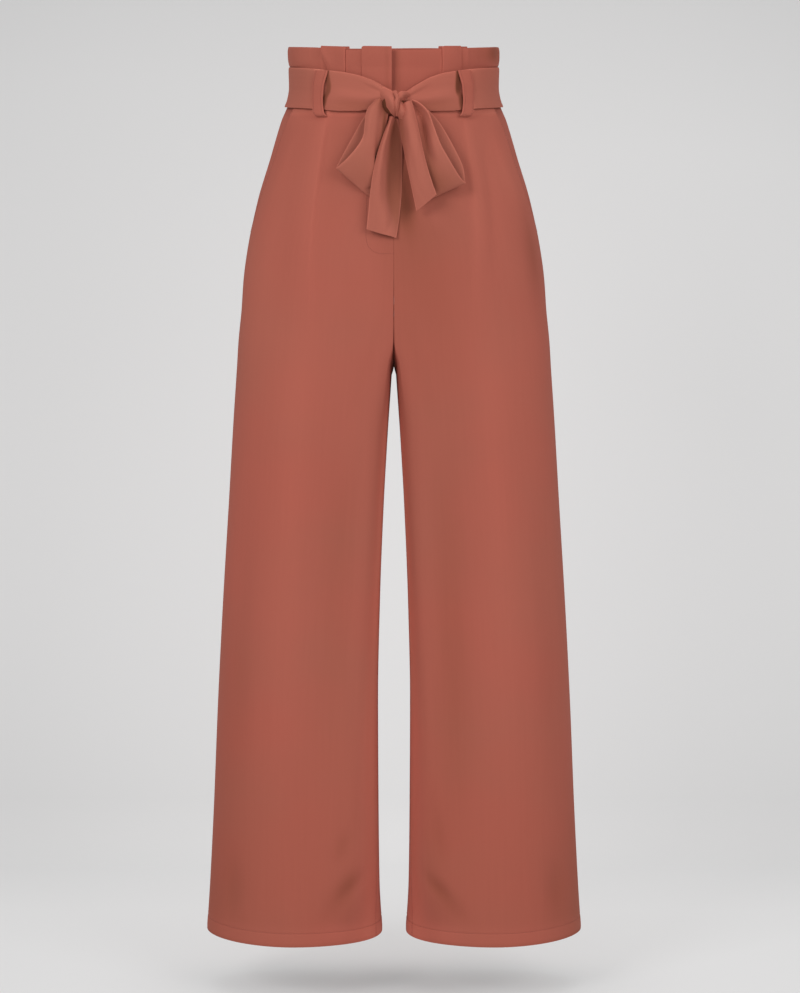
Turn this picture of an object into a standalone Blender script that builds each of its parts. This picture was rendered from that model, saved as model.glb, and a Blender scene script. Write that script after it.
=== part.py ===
"""Paperbag waist trousers: high waist, pleated frill over a tied sash, wide straight legs.

The garment keeps the hollow shape it has when it is worn, with nobody in it. Its front faces -Y, the
wearer's left is +X and +Z is up. The origin is the middle of the waist, at mid height of the belt.
Lengths in the tables are millimetres; MM turns them into metres when a mesh is made.

Every panel is a piece of one surface, body_surface(u, z). u runs round one quarter of the garment:
0 at the side seam, CORNER at the centre front or back, and on from there along the inner side of the
leg to 1 at the inseam. The wall is that surface moved along its own normal.
"""
import bpy
import numpy as np

MM = 0.001
WALL = 1.2                # thickness of the trouser cloth
SEAM_GAP = 0.3            # clearance between two pieces that are sewn together
BELT_WALL = 2.2           # the sash is two layers of cloth
STRIP_WALL = 1.8          # the sash pulled flat in the bow
LOOP_WALL = 1.6           # belt loop, folded twice
LOOP_WIDTH = 15.0
WAIST_SEAM = -21.5        # height of the seam between waistband and panels
HEM = -1014.0
HEM_DEPTH = 18.0          # depth of the turned-up hem
FORK = -268.0             # where the legs part at the front
BACK_FORK = -292.0        # where they part at the back
CROTCH = -330.0           # lowest point of the crotch seam
CORNER = 0.75             # u at the centre seam, or on the front inner corner of a leg
INNER_COLUMNS = (0.75, 0.775, 0.80, 0.85, 0.90, 0.95, 1.0)   # grid columns of the inner side of a leg
POCKET_FOOT = -178.0      # where the slant pocket mouth meets the side seam
POCKET_LAP = 0.09         # how far (in u) the facing runs under the front panel
FACING_DEPTH = 2.1        # how far the facing lies under the front panel
FOLD_COLUMN = 0.41        # u up to which a panel's grid columns share the way from its side edge
FRONT_SHARES = (0.0, 0.18, 0.36, 0.54, 0.72, 0.86, 1.0)          # the shares, then the columns after
FRONT_COLUMNS = (0.435, 0.455, 0.475, 0.52, 0.59, 0.66, 0.71)
BACK_SHARES = (0.0, 0.18, 0.38, 0.60, 0.80, 1.0)
BACK_COLUMNS = (0.43, 0.45, 0.48, 0.53, 0.60, 0.66, 0.71)

# One row per horizontal section: height, half width at the side seam, depth of the front and of the
# back from the side seam, and half the clear space between the legs.
SECTION_COLUMNS = ("height", "side", "front", "back", "inner")
SECTIONS = np.array([
    (-1014.0, 226.8, 100.0, 70.0, 14.8),
    (-956.0, 222.8, 99.5, 71.0, 18.2),
    (-857.0, 217.3, 98.0, 75.0, 19.4),
    (-734.0, 211.7, 97.0, 82.0, 19.9),
    (-612.0, 204.9, 99.0, 92.0, 17.4),
    (-490.0, 197.0, 108.0, 105.0, 12.6),
    (-394.0, 191.0, 116.0, 122.0, 7.1),
    (-330.0, 186.5, 120.0, 138.0, 3.5),
    (-299.0, 184.5, 121.0, 145.0, 1.5),
    (-263.0, 180.8, 121.0, 149.0, 0.0),
    (-227.0, 178.2, 120.0, 149.0, 0.0),
    (-191.0, 173.3, 118.0, 146.0, 0.0),
    (-132.0, 161.7, 113.0, 134.0, 0.0),
    (-85.0, 147.9, 107.5, 119.0, 0.0),
    (-50.0, 136.5, 102.5, 108.0, 0.0),
    (-38.0, 132.0, 100.5, 104.0, 0.0),
    (-27.0, 125.6, 97.5, 100.0, 0.0),
    (-15.0, 122.3, 95.5, 97.5, 0.0),
    (0.0, 120.2, 94.0, 96.0, 0.0),
    (23.0, 120.8, 94.5, 96.0, 0.0),
    (34.0, 123.7, 96.5, 97.5, 0.0),
    (41.0, 124.2, 97.5, 98.5, 0.0),
    (48.0, 123.1, 98.0, 99.0, 0.0),
])

# Roundness of the sections: exponents of the superellipses |x|^n + |y|^n = 1.
BODY_POWER = 2.2
LEG_OUTER_POWER = 2.2
LEG_INNER_POWER = 7.0     # at the crotch, where the inner sides of the legs lie flat
LEG_INNER_POWER_HEM = 3.6
LEG_BLEND_TOP = -200.0    # body sections turn into leg sections between these heights
LEG_BLEND_END = -410.0
SEAM_CLOSE = 0.035        # width in u over which the inner walls close on the crotch seam

# The slant pocket mouth: height, and u of its edge.
POCKET_MOUTH = np.array([
    (POCKET_FOOT, 0.0), (-145.0, 0.075), (-110.0, 0.123),
    (-80.0, 0.143), (-50.0, 0.161), (WAIST_SEAM, 0.200),
])

# Long folds. Each row: u of its line, height of its top and foot, rise (minus is a trough), and its
# width towards the side seam and towards the centre, in u.
FOLD_COLUMNS = ("line", "top", "foot", "rise", "side_width", "centre_width")
FRONT_FOLDS = (
    (0.455, 40.0, -300.0, 3.0, 0.080, 0.032),     # the pleat that leaves the waist seam
    (0.440, -180.0, -960.0, 2.6, 0.090, 0.080),   # the same line, soft, down the leg
    (0.380, -60.0, -250.0, -1.6, 0.030, 0.030),
    (0.645, -380.0, -860.0, -3.0, 0.070, 0.050),
    (0.240, -420.0, -900.0, -2.0, 0.070, 0.070),
)
BACK_FOLDS = (
    (0.430, 0.0, -150.0, -2.2, 0.020, 0.020),     # waist dart
    (0.450, -200.0, -960.0, 3.0, 0.090, 0.080),
    (0.640, -350.0, -860.0, -4.0, 0.070, 0.060),
    (0.230, -400.0, -900.0, -2.4, 0.070, 0.070),
)

# Waistband pleats: u of each fold edge, counted on past 1 round the back. At a rise the cloth tucks
# under itself and comes back out on top, two layers up; at a fall it goes back down.
TUCK = 0.034              # depth of a tuck, in u
LAYER_PITCH = 1.6         # from layer to layer inside the belt
TOP_PITCH = 2.3           # the same at the frill's top edge, where the folds open
RIGHT_PLEATS = (("rise", 0.393), ("fall", 0.540), ("rise", 0.619))
LEFT_PLEATS = (("rise", 0.420), ("fall", 0.540))
BACK_PLEATS = (("rise", 0.386), ("fall", 0.536), ("rise", 0.964), ("fall", 1.114))
FLY_EDGE = 0.741          # u where the right front ends, on top
UNDERLAP_EDGE = 0.809     # u where the left front ends, underneath and past the centre
HAIRPIN = 0.0036          # how far the tip of a fold stands past its edge, in u
WAISTBAND_ROWS = (WAIST_SEAM, -12.0, 4.0, 23.0, 28.0, 34.0)   # heights of its grid rows below the top
FRILL_TOP = 46.5
FOLD_LIFT = 1.3           # how much higher the top layers of the pleats stand
FRILL_WAVE = 0.8          # rise and fall of the top edge
FRILL_WAVE_RATE = 23.0    # radians of that wave per unit of u
FRILL_SLOPE = 0.9         # drop of the top edge from the side seams to the front and the back

# The sash round the waist: distance from the centre front, and height of its upper and lower edge.
BELT_EDGE = np.array([
    (0.0, -8.0, -16.0), (10.0, -5.0, -17.5), (22.0, 3.2, -22.3), (40.0, 12.0, -25.6), (57.0, 18.9, -25.6),
    (76.0, 21.8, -24.8), (90.0, 22.6, -24.3), (108.0, 23.5, -23.8), (125.0, 23.8, -23.6),
])
BELT_CLEAR = np.array([(0.0, 4.9), (25.0, 4.6), (50.0, 4.5), (90.0, 4.4), (112.0, 1.7), (125.0, 1.0)])
BELT_CLEAR_BACK = 3.4     # added over the back pleats
BELT_ARM = np.array((1.2, 8.0, 15.0, 24.0, 34.0, 46.0, 58.0))   # distances of the arms' grid columns

# A belt loop's course: its height, and clearance from the body surface at its edge towards the side seam
# and at its edge towards the centre, which stands off the sash.
LOOP_COURSE = np.array([
    (-33.5, 3.7, 3.7), (-30.0, 3.7, 3.7), (-28.0, 4.9, 5.2), (-26.0, 7.3, 7.6), (-19.0, 7.6, 11.0),
    (-8.0, 7.8, 14.0), (4.0, 7.8, 14.8), (14.0, 7.7, 12.0), (20.0, 7.5, 8.8), (23.6, 7.3, 7.4),
    (25.0, 5.1, 5.1), (26.2, 4.6, 4.6),
])
FRONT_LOOP_X = 77.5
BACK_LOOP_X = 62.0

# Bow. Each row is one station along a strip: the side edge (x, y, z), then the centre edge (x, y, z).
KNOT_CENTRE = np.array((-0.5, -111.9, -17.5))
KNOT_RADIUS = np.array((16.0, 8.8, 15.5))
BESIDE_KNOT = 0.4                            # clearance of a strip that ends against the knot
ON_KNOT = 0.5 * STRIP_WALL + 0.4             # clearance of the middle of a strip that lies on it
EAR_CROWN = 1.2                              # rise of a bow loop's middle over its edges
TAIL_CROWN = 1.5                             # the same on the tails
BOW_RIGHT = np.array([
    (-16.5, -113.5, -15.5, -8.5, -115.0, -24.5),
    (-31.0, -119.0, -30.0, -14.0, -120.5, -40.0),
    (-35.5, -123.0, -50.4, -20.1, -122.0, -61.8),
    (-41.8, -125.0, -66.3, -24.7, -121.0, -81.3),
    (-54.5, -125.0, -80.0, -25.8, -120.5, -102.0),
    (-64.3, -122.0, -88.7, -25.9, -119.5, -119.2),
    (-66.1, -118.3, -91.2, -25.9, -117.4, -123.0),
    (-65.0, -115.0, -88.4, -24.8, -115.2, -119.4),
    (-55.8, -111.5, -71.3, -24.7, -113.0, -95.3),
    (-45.5, -108.5, -53.1, -22.4, -110.0, -70.2),
    (-36.3, -106.0, -35.9, -17.8, -107.5, -45.1),
    (-24.7, -105.2, -22.2, -10.9, -105.8, -28.8),
])
BOW_LEFT = np.array([
    (19.5, -114.8, -13.8, 12.5, -116.2, -22.0),
    (27.0, -117.0, -16.0, 16.0, -118.5, -31.0),
    (35.0, -119.5, -20.5, 20.5, -120.5, -43.0),
    (47.6, -123.0, -34.4, 24.7, -121.0, -58.4),
    (56.8, -126.0, -56.0, 29.3, -121.0, -81.3),
    (67.2, -126.0, -81.2, 32.8, -120.5, -106.6),
    (79.9, -122.4, -104.8, 35.1, -120.6, -126.1),
    (82.3, -118.5, -107.7, 35.1, -117.4, -129.6),
    (82.3, -114.8, -103.3, 35.1, -114.8, -126.2),
    (78.9, -111.5, -83.9, 32.8, -113.5, -104.5),
    (63.9, -109.5, -55.3, 28.2, -111.5, -81.6),
    (46.6, -107.0, -29.0, 21.3, -109.5, -56.5),
    (30.5, -105.6, -19.9, 16.7, -107.0, -33.6),
    (19.0, -105.2, -14.5, 11.0, -105.6, -23.0),
])
TAIL_RIGHT = np.array([
    (-6.3, -112.0, -31.0, 4.1, -112.0, -32.0),
    (-7.3, -114.0, -40.0, 5.4, -113.6, -40.0),
    (-12.0, -117.0, -56.3, 8.1, -115.0, -58.6),
    (-18.9, -121.0, -75.6, 8.7, -117.0, -81.4),
    (-24.1, -124.0, -98.4, 8.4, -119.0, -104.3),
    (-27.0, -125.0, -121.3, 7.5, -121.0, -127.2),
    (-29.3, -124.0, -141.9, 6.3, -122.0, -147.8),
    (-31.1, -123.0, -160.9, 4.0, -121.0, -169.1),
])
TAIL_LEFT = np.array([
    (15.5, -118.0, -12.9, 2.9, -120.0, -19.7),
    (20.1, -122.0, -17.4, 5.2, -122.5, -31.0),
    (25.8, -127.0, -33.2, 8.1, -124.5, -47.0),
    (32.7, -131.0, -60.5, 12.1, -126.5, -69.7),
    (39.6, -132.0, -87.8, 16.7, -127.5, -92.6),
    (45.4, -131.0, -108.4, 21.3, -126.5, -115.5),
    (50.0, -128.0, -121.1, 27.1, -124.0, -139.7),
])

CLOTH_COLOUR = (0.387, 0.117, 0.082)
BELT_COLOUR = (0.407, 0.131, 0.094)


# ---------------------------------------------------------------- curves and surfaces

def smooth_step(value, start, end):
    """0 before start, 1 after end, 3t^2 - 2t^3 between."""
    t = np.clip((np.asarray(value, float) - start) / (end - start), 0.0, 1.0)
    return t * t * (3.0 - 2.0 * t)


def through(points, at):
    """Monotone cubic through the rows (position, value) of a table, read at the positions `at`."""
    xs, ys = points[:, 0], points[:, 1]
    step = np.diff(xs)
    slope = np.diff(ys) / step
    tangent = np.empty(len(xs))
    tangent[0], tangent[-1] = slope[0], slope[-1]
    same_way = slope[:-1] * slope[1:] > 0.0
    total = np.where(same_way, slope[:-1] + slope[1:], 1.0)
    tangent[1:-1] = np.where(same_way, 2.0 * slope[:-1] * slope[1:] / total, 0.0)
    x = np.clip(at, xs[0], xs[-1])
    i = np.clip(np.searchsorted(xs, x) - 1, 0, len(xs) - 2)
    h = step[i]
    t = (x - xs[i]) / h
    return ((2 * t**3 - 3 * t**2 + 1) * ys[i] + (t**3 - 2 * t**2 + t) * h * tangent[i]
            + (3 * t**2 - 2 * t**3) * ys[i + 1] + (t**3 - t**2) * h * tangent[i + 1])


def section(name, z):
    """One column of SECTIONS at the heights z."""
    return through(SECTIONS[:, (0, SECTION_COLUMNS.index(name))], z)


def squircle(angle, exponent):
    """Cosine and sine of the angle, stretched from the unit circle out to the unit superellipse."""
    across, along = np.cos(angle), np.sin(angle)
    stretch = (np.abs(across) ** exponent + np.abs(along) ** exponent) ** (-1.0 / exponent)
    return across * stretch, along * stretch


def seam_edge(z, face):
    """u of a panel's centre edge: CORNER down to the fork, then along a quarter ellipse to 1."""
    fork = FORK if face == "front" else BACK_FORK
    fall = np.clip((fork - z) / (fork - CROTCH), 0.0, 1.0)
    return 1.0 - np.arctan(np.sqrt(1.0 - fall**2) * np.tan(np.pi * (1.0 - CORNER))) / np.pi


def body_surface(u, z, face):
    """Point of the wearer's left half, front or back, without folds.

    The body section is a quarter superellipse up to the centre, with a plane wall x = 0 after it. The
    leg section is half a superellipse round the middle of the leg. A smooth step in z turns the first
    into the second. Next to the crotch seam x is drawn in to 0, so that right and left meet there.
    """
    u, z = np.broadcast_arrays(np.asarray(u, float), np.asarray(z, float))
    side = section("side", z)
    depth = section(face, z)
    inner = section("inner", z)
    inner_power = LEG_INNER_POWER + (LEG_INNER_POWER_HEM - LEG_INNER_POWER) * smooth_step(-z, -CROTCH, -HEM)
    leg_across, leg_along = squircle(np.pi * u, np.where(u < 0.5, LEG_OUTER_POWER, inner_power))
    leg_x = 0.5 * (side + inner) + 0.5 * (side - inner) * leg_across
    leg_y = depth * leg_along
    body_across, body_along = squircle(0.5 * np.pi * np.minimum(u, CORNER) / CORNER, BODY_POWER)
    body_x = side * body_across
    to_middle = np.tan(np.pi * (1.0 - u)) / np.tan(np.pi * (1.0 - CORNER))
    body_y = depth * np.where(u > CORNER, to_middle, body_along)
    blend = smooth_step(-z, -LEG_BLEND_TOP, -LEG_BLEND_END)
    x = (1.0 - blend) * body_x + blend * leg_x
    y = (1.0 - blend) * body_y + blend * leg_y
    close = np.exp(-((seam_edge(z, face) - u) / SEAM_CLOSE) ** 2) * smooth_step(z, CROTCH - 12.0, CROTCH)
    x = x * (1.0 - close)
    return np.stack([x, -y if face == "front" else y, z], axis=-1)


def body_normal(u, z, face):
    """Outward normal of body_surface, from the differences of near points."""
    du, dz = 0.004, 1.0
    top = SECTIONS[-1, 0]
    after = np.minimum(u + du, np.maximum(seam_edge(z, face), u))
    along_u = body_surface(after, z, face) - body_surface(u - du, z, face)
    up = np.minimum(z + dz, top)
    down = np.maximum(z - dz, HEM)
    along_z = body_surface(u, up, face) - body_surface(u, down, face)
    normal = np.cross(along_z, along_u) if face == "front" else np.cross(along_u, along_z)
    return normal / np.linalg.norm(normal, axis=-1, keepdims=True)


def fold_relief(u, z, face):
    """Sum of the folds: each a two-sided bell across its line, faded at its top and foot."""
    total = np.zeros(np.broadcast(u, z).shape)
    for line, top, foot, rise, side_width, centre_width in FRONT_FOLDS if face == "front" else BACK_FOLDS:
        width = np.where(u < line, side_width, centre_width)
        bell = np.exp(-((u - line) / width) ** 2)
        reach = 0.3 * (top - foot)
        total += rise * bell * smooth_step(-z, -top, reach - top) * smooth_step(z, foot, foot + 2.0 * reach)
    return total


def garment_surface(u, z, face, out=0.0):
    """body_surface with its folds, moved `out` along the normal."""
    return body_surface(u, z, face) + body_normal(u, z, face) * (fold_relief(u, z, face) + out)[..., None]


# ---------------------------------------------------------------- solids

def add_object(name, points, faces, colour):
    """Mesh object from points in millimetres, with its faces pointing out of the solid."""
    points = points.reshape(-1, 3)
    corners = points[np.array(faces)]
    volume = np.einsum("ij,ij->i", corners[:, 0], np.cross(corners[:, 1], corners[:, 2])).sum()
    if volume < 0.0:
        faces = [face[::-1] for face in faces]
    mesh = bpy.data.meshes.new(name)
    mesh.from_pydata((points * MM).tolist(), [], faces)
    mesh.materials.append(cloth_material(name, colour))
    mesh.shade_smooth()
    mesh.set_sharp_from_angle(angle=0.7)
    item = bpy.data.objects.new(name, mesh)
    bpy.context.scene.collection.objects.link(item)
    return item


def cloth_material(name, colour):
    """Plain matt cloth for one piece."""
    material = bpy.data.materials.new(name + "_cloth")
    material.use_nodes = True
    shader = material.node_tree.nodes["Principled BSDF"]
    shader.inputs["Base Color"].default_value = (*colour, 1.0)
    shader.inputs["Roughness"].default_value = 0.85
    shader.inputs["Metallic"].default_value = 0.0
    return material


def sheet_solid(name, outer, inner, colour=CLOTH_COLOUR, last=None):
    """Closed wall between two grids of points of the same shape.

    `last` gives the last column that each row has; its row ends there.
    """
    rows, columns = outer.shape[:2]
    last = np.full(rows, columns - 1) if last is None else last
    kept = np.arange(columns)[None, :] <= last[:, None]
    number = np.cumsum(kept).reshape(rows, columns) - 1
    count = int(kept.sum())
    first, second = number[:-1, :-1].ravel(), number[:-1, 1:].ravel()
    third, fourth = number[1:, 1:].ravel(), number[1:, :-1].ravel()
    skin = np.concatenate([np.stack([first, second, third], 1), np.stack([first, third, fourth], 1)])
    skin = skin[(skin[:, 0] != skin[:, 1]) & (skin[:, 1] != skin[:, 2]) & (skin[:, 2] != skin[:, 0])]
    rim = np.concatenate([number[0, :-1], number[:-1, -1], number[-1, :0:-1], number[:0:-1, 0]])
    rim = rim[rim != np.roll(rim, -1)]
    after = np.roll(rim, -1)
    edge = [np.stack([after, rim, rim + count], 1), np.stack([after, rim + count, after + count], 1)]
    faces = np.concatenate([skin, skin[:, ::-1] + count, *edge])
    return add_object(name, np.concatenate([outer[kept], inner[kept]]), faces.tolist(), colour)


def to_side(points, side, face):
    """Turn points of the wearer's left half into a piece of one side, clear of its seams.

    Every quarter keeps half a seam gap to the planes x = 0 and y = 0.
    """
    points = points.copy()
    half = 0.5 * SEAM_GAP
    points[..., 0] = np.maximum(points[..., 0], 0.0) + half
    if face == "front":
        points[..., 1] = np.minimum(points[..., 1], 0.0) - half
    else:
        points[..., 1] = np.maximum(points[..., 1], 0.0) + half
    if side == "right":
        points[..., 0] *= -1.0
    return points


def panel_rows(face):
    """Heights of a panel's grid rows, from the waist seam to the hem."""
    fork = FORK if face == "front" else BACK_FORK
    hip = [WAIST_SEAM - SEAM_GAP, -27.0, -38.0, -56.0, -80.0, -110.0, -145.0, POCKET_FOOT, -205.0, -242.0]
    arch = [fork + (CROTCH - fork) * np.sqrt(1.0 - np.tan(np.pi * (1.0 - u)) ** 2) for u in INNER_COLUMNS]
    top_of_leg = [CROTCH - drop for drop in (4.0, 12.0, 34.0)]
    hem_fold = HEM + HEM_DEPTH
    leg = list(np.linspace(CROTCH - 80.0, hem_fold + 45.0, 8))
    return np.array(hip + arch + top_of_leg + leg + [hem_fold, hem_fold - 1.0, HEM])


def panel(side, face):
    """One of the four trouser panels."""
    z = panel_rows(face)[:, None]
    if face == "front":
        start = np.where(z >= POCKET_FOOT, through(POCKET_MOUTH, z), 0.0)
        shares, rest = FRONT_SHARES, FRONT_COLUMNS
    else:
        start = np.zeros_like(z)
        shares, rest = BACK_SHARES, BACK_COLUMNS
    run = start + np.array(shares) * (FOLD_COLUMN - start)
    u = np.concatenate([run, rest + 0.0 * z, INNER_COLUMNS + 0.0 * z], axis=1)
    last = np.sum(u < seam_edge(z, face) - 1e-6, axis=1)
    z = z + 0.0 * u
    wall = np.where(z < HEM + HEM_DEPTH - 0.5, 2.0 * WALL, WALL)
    outer = garment_surface(u, z, face)
    inside = garment_surface(u, z, face, -wall)
    outer[..., 2] = z
    inside[..., 2] = z
    sheet_solid(f"{face}_panel_{side}", to_side(outer, side, face), to_side(inside, side, face), last=last)


def pocket_facing(side):
    """The cloth seen behind a slant pocket mouth, from the side seam to under the front panel."""
    z = np.array((WAIST_SEAM - SEAM_GAP, -27.0, -38.0, -56.0, -80.0, -110.0, -145.0, -170.0))[:, None]
    edge = through(POCKET_MOUTH, z)
    lap = edge + POCKET_LAP * np.array((0.3, 0.65, 1.0))
    u = np.concatenate([edge * np.linspace(0.0, 1.0, 5), lap], axis=1)
    z = z + 0.0 * u
    sink = -FACING_DEPTH * smooth_step(u, 0.0, 0.7 * edge)
    outer = garment_surface(u, z, "front", sink)
    inside = garment_surface(u, z, "front", sink - WALL)
    outer[..., 2] = z
    inside[..., 2] = z
    sheet_solid(f"pocket_facing_{side}", to_side(outer, side, "front"), to_side(inside, side, "front"))


# ---------------------------------------------------------------- waistband and its pleats

def waist_point(turn, z, out):
    """Point of the waist at an angle from the centre front, `out` from the body surface.

    A superellipse whose depth is the front's on one side of the side seams and the back's on the
    other; turn is positive towards the wearer's left.
    """
    def ring(angle, height):
        along, across = squircle(angle, BODY_POWER)
        depth = np.where(along > 0.0, section("front", height), section("back", height))
        x = section("side", height) * across
        return np.stack([x, -depth * along, height + 0.0 * x], axis=-1)
    turn, z, out = np.broadcast_arrays(*(np.asarray(v, float) for v in (turn, z, out)))
    tangent = ring(turn + 0.01, z) - ring(turn - 0.01, z)
    normal = np.stack([tangent[..., 1], -tangent[..., 0], np.zeros_like(z)], axis=-1)
    normal /= np.linalg.norm(normal, axis=-1, keepdims=True)
    return ring(turn, z) + normal * out[..., None]


def pleat_course(pleats, last, start=0.0, spacing=0.06):
    """Course of a pleated edge in plan, as rows (u, layer), from `start` to `last`.

    Each fold is a hairpin of three points: level, half a layer on, and back on the next layer.
    """
    course = [(start, 0.0)]

    def go_to(u):
        here, layer = course[-1]
        count = max(1, int(round(abs(u - here) / spacing)))
        course.extend((here + (u - here) * k / count, layer) for k in range(1, count + 1))

    def turn_back(direction, climb):
        here, layer = course[-1]
        course.append((here + direction * HAIRPIN, layer + 0.5 * climb))
        course.append((here, layer + climb))

    for kind, edge in pleats:
        climb = 1.0 if kind == "rise" else -1.0
        under = edge + TUCK if kind == "rise" else edge
        back = edge if kind == "rise" else edge - TUCK
        go_to(under)
        turn_back(1.0, climb)
        go_to(back)
        turn_back(-1.0, climb)
    go_to(last)
    return np.array(course)


def waistband(name, course, turn_of_u):
    """Waistband piece: the pleated course carried from the waist seam up to the frill's top edge."""
    u, layer = course[:, 0], course[:, 1]
    top = FRILL_TOP + FOLD_LIFT * smooth_step(layer, 1.2, 2.0)
    top += FRILL_WAVE * np.sin(u * FRILL_WAVE_RATE) - FRILL_SLOPE * smooth_step(u, 0.1, 0.3)
    z = np.vstack([np.array(WAISTBAND_ROWS)[:, None] + 0.0 * u, top])
    pitch = LAYER_PITCH + (TOP_PITCH - LAYER_PITCH) * smooth_step(z, 22.0, FRILL_TOP)
    middle = waist_point(turn_of_u(u), z, layer * pitch - 0.5 * WALL)
    step = np.diff(middle[..., :2], axis=1)
    step /= np.linalg.norm(step, axis=-1, keepdims=True)
    before = np.concatenate([step[:, :1], step], axis=1)
    after = np.concatenate([step, step[:, -1:]], axis=1)
    tangent = before + after
    tangent /= np.linalg.norm(tangent, axis=-1, keepdims=True)
    stretch = 1.0 / np.maximum(np.sum(tangent * after, axis=-1), 0.6)
    across = np.stack([tangent[..., 1], -tangent[..., 0], np.zeros_like(stretch)], axis=-1)
    across *= (0.5 * WALL * stretch)[..., None]
    sheet_solid(name, middle + across, middle - across)


def waistbands():
    """The three waistband pieces; their ends keep half a seam gap to the side seams."""
    quarter = 0.5 * np.pi
    gap = 0.5 * SEAM_GAP / SECTIONS[:, 1].min() * CORNER / quarter
    waistband("waistband_front_right", pleat_course(RIGHT_PLEATS, FLY_EDGE, gap),
              lambda u: -quarter * (1.0 - u / CORNER))
    waistband("waistband_front_left", pleat_course(LEFT_PLEATS, UNDERLAP_EDGE, gap),
              lambda u: quarter * (1.0 - u / CORNER))
    waistband("waistband_back", pleat_course(BACK_PLEATS, 2.0 * CORNER - gap, gap),
              lambda u: quarter * (1.0 + u / CORNER))


# ---------------------------------------------------------------- sash, bow and belt loops

def turn_at(x):
    """Angle from the centre front at which the waist is x from the middle plane."""
    share = x / section("side", 0.0)
    return np.arctan2(share, (1.0 - share**BODY_POWER) ** (1.0 / BODY_POWER))


def belt_band():
    """The sash from one side of the knot round the back to the other, tapering into the knot."""
    arm = turn_at(BELT_ARM)
    side, back = np.linspace(arm[-1], 0.5 * np.pi, 9), np.linspace(0.5 * np.pi, np.pi, 15)
    half = np.concatenate([arm, side[1:], back[1:]])
    turn = np.concatenate([half, 2.0 * np.pi - half[-2::-1]])[:, None]
    reach = np.abs(waist_point(turn[:, 0], 0.0, 0.0)[:, 0])
    reach = np.where(np.cos(turn[:, 0]) > 0.0, reach, BELT_EDGE[-1, 0])[:, None]
    upper = through(BELT_EDGE[:, (0, 1)], reach)
    lower = through(BELT_EDGE[:, (0, 2)], reach)
    z = lower + (upper - lower) * np.linspace(0.0, 1.0, 4)
    clear = through(BELT_CLEAR, reach)
    at_back = BELT_CLEAR_BACK * smooth_step(-np.cos(turn), 0.15, 0.5)
    inner = waist_point(turn, z, clear + at_back)
    outer = waist_point(turn, z, clear + at_back + BELT_WALL)
    sheet_solid("belt_band", outer, inner, BELT_COLOUR)


def belt_loop(name, x, face):
    """A strip sewn down above and below the belt and standing off it between."""
    middle = turn_at(abs(x))
    if face == "back":
        middle = np.pi - middle
    half = 0.5 * LOOP_WIDTH / section("side", 0.0)
    turn = np.sign(x) * (middle + half * np.array((-1.0, 0.0, 1.0)))
    z, side_clear, centre_clear = LOOP_COURSE[:, :1], LOOP_COURSE[:, 1:2], LOOP_COURSE[:, 2:]
    from_centre = np.array((0.0, 0.5, 1.0)) if face == "front" else np.array((1.0, 0.5, 0.0))
    clear = centre_clear + (side_clear - centre_clear) * from_centre
    inner = waist_point(turn, z, clear)
    outer = waist_point(turn, z, clear + LOOP_WALL)
    sheet_solid(name, outer, inner)


def along_stations(stations, count):
    """Catmull-Rom curve through the rows of a table, read at `count` even steps."""
    padded = np.vstack([2 * stations[0] - stations[1], stations, 2 * stations[-1] - stations[-2]])
    at = np.linspace(0.0, len(stations) - 1.0, count)
    i = np.minimum(at.astype(int), len(stations) - 2)
    t = (at - i)[:, None]
    p0, p1, p2, p3 = padded[i], padded[i + 1], padded[i + 2], padded[i + 3]
    return 0.5 * (2 * p1 + (p2 - p0) * t + (2 * p0 - 5 * p1 + 4 * p2 - p3) * t**2
                  + (3 * p1 - p0 - 3 * p2 + p3) * t**3)


def outside_knot(points, clearance):
    """Push points that lie in the knot out to a clearance from it."""
    from_centre = points - KNOT_CENTRE
    size = np.linalg.norm(from_centre / KNOT_RADIUS, axis=-1, keepdims=True)
    surface = np.linalg.norm(from_centre, axis=-1, keepdims=True) / size
    return KNOT_CENTRE + from_centre * np.maximum(1.0, (1.0 + clearance / surface) / size)


def sash_strip(name, stations, count, crown, end_clearance):
    """A flat stretch of sash between two edges, slightly crowned across its width.

    `end_clearance` is the distance from the knot at which its first row starts.
    """
    edges = along_stations(stations, count)
    share = np.linspace(0.0, 1.0, 5)[None, :, None]
    middle = edges[:, None, :3] * (1.0 - share) + edges[:, None, 3:] * share

    def normals(points):
        along = np.gradient(points, axis=0)
        across = np.gradient(points, axis=1)
        normal = np.cross(along, across)
        return normal / np.linalg.norm(normal, axis=-1, keepdims=True)

    middle = middle + normals(middle) * crown * np.sin(np.pi * share)
    clearance = np.full((count, 1, 1), ON_KNOT)
    clearance[0] = end_clearance
    middle = outside_knot(middle, clearance)
    lift = normals(middle) * 0.5 * STRIP_WALL
    sheet_solid(name, middle + lift, middle - lift, BELT_COLOUR)


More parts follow.
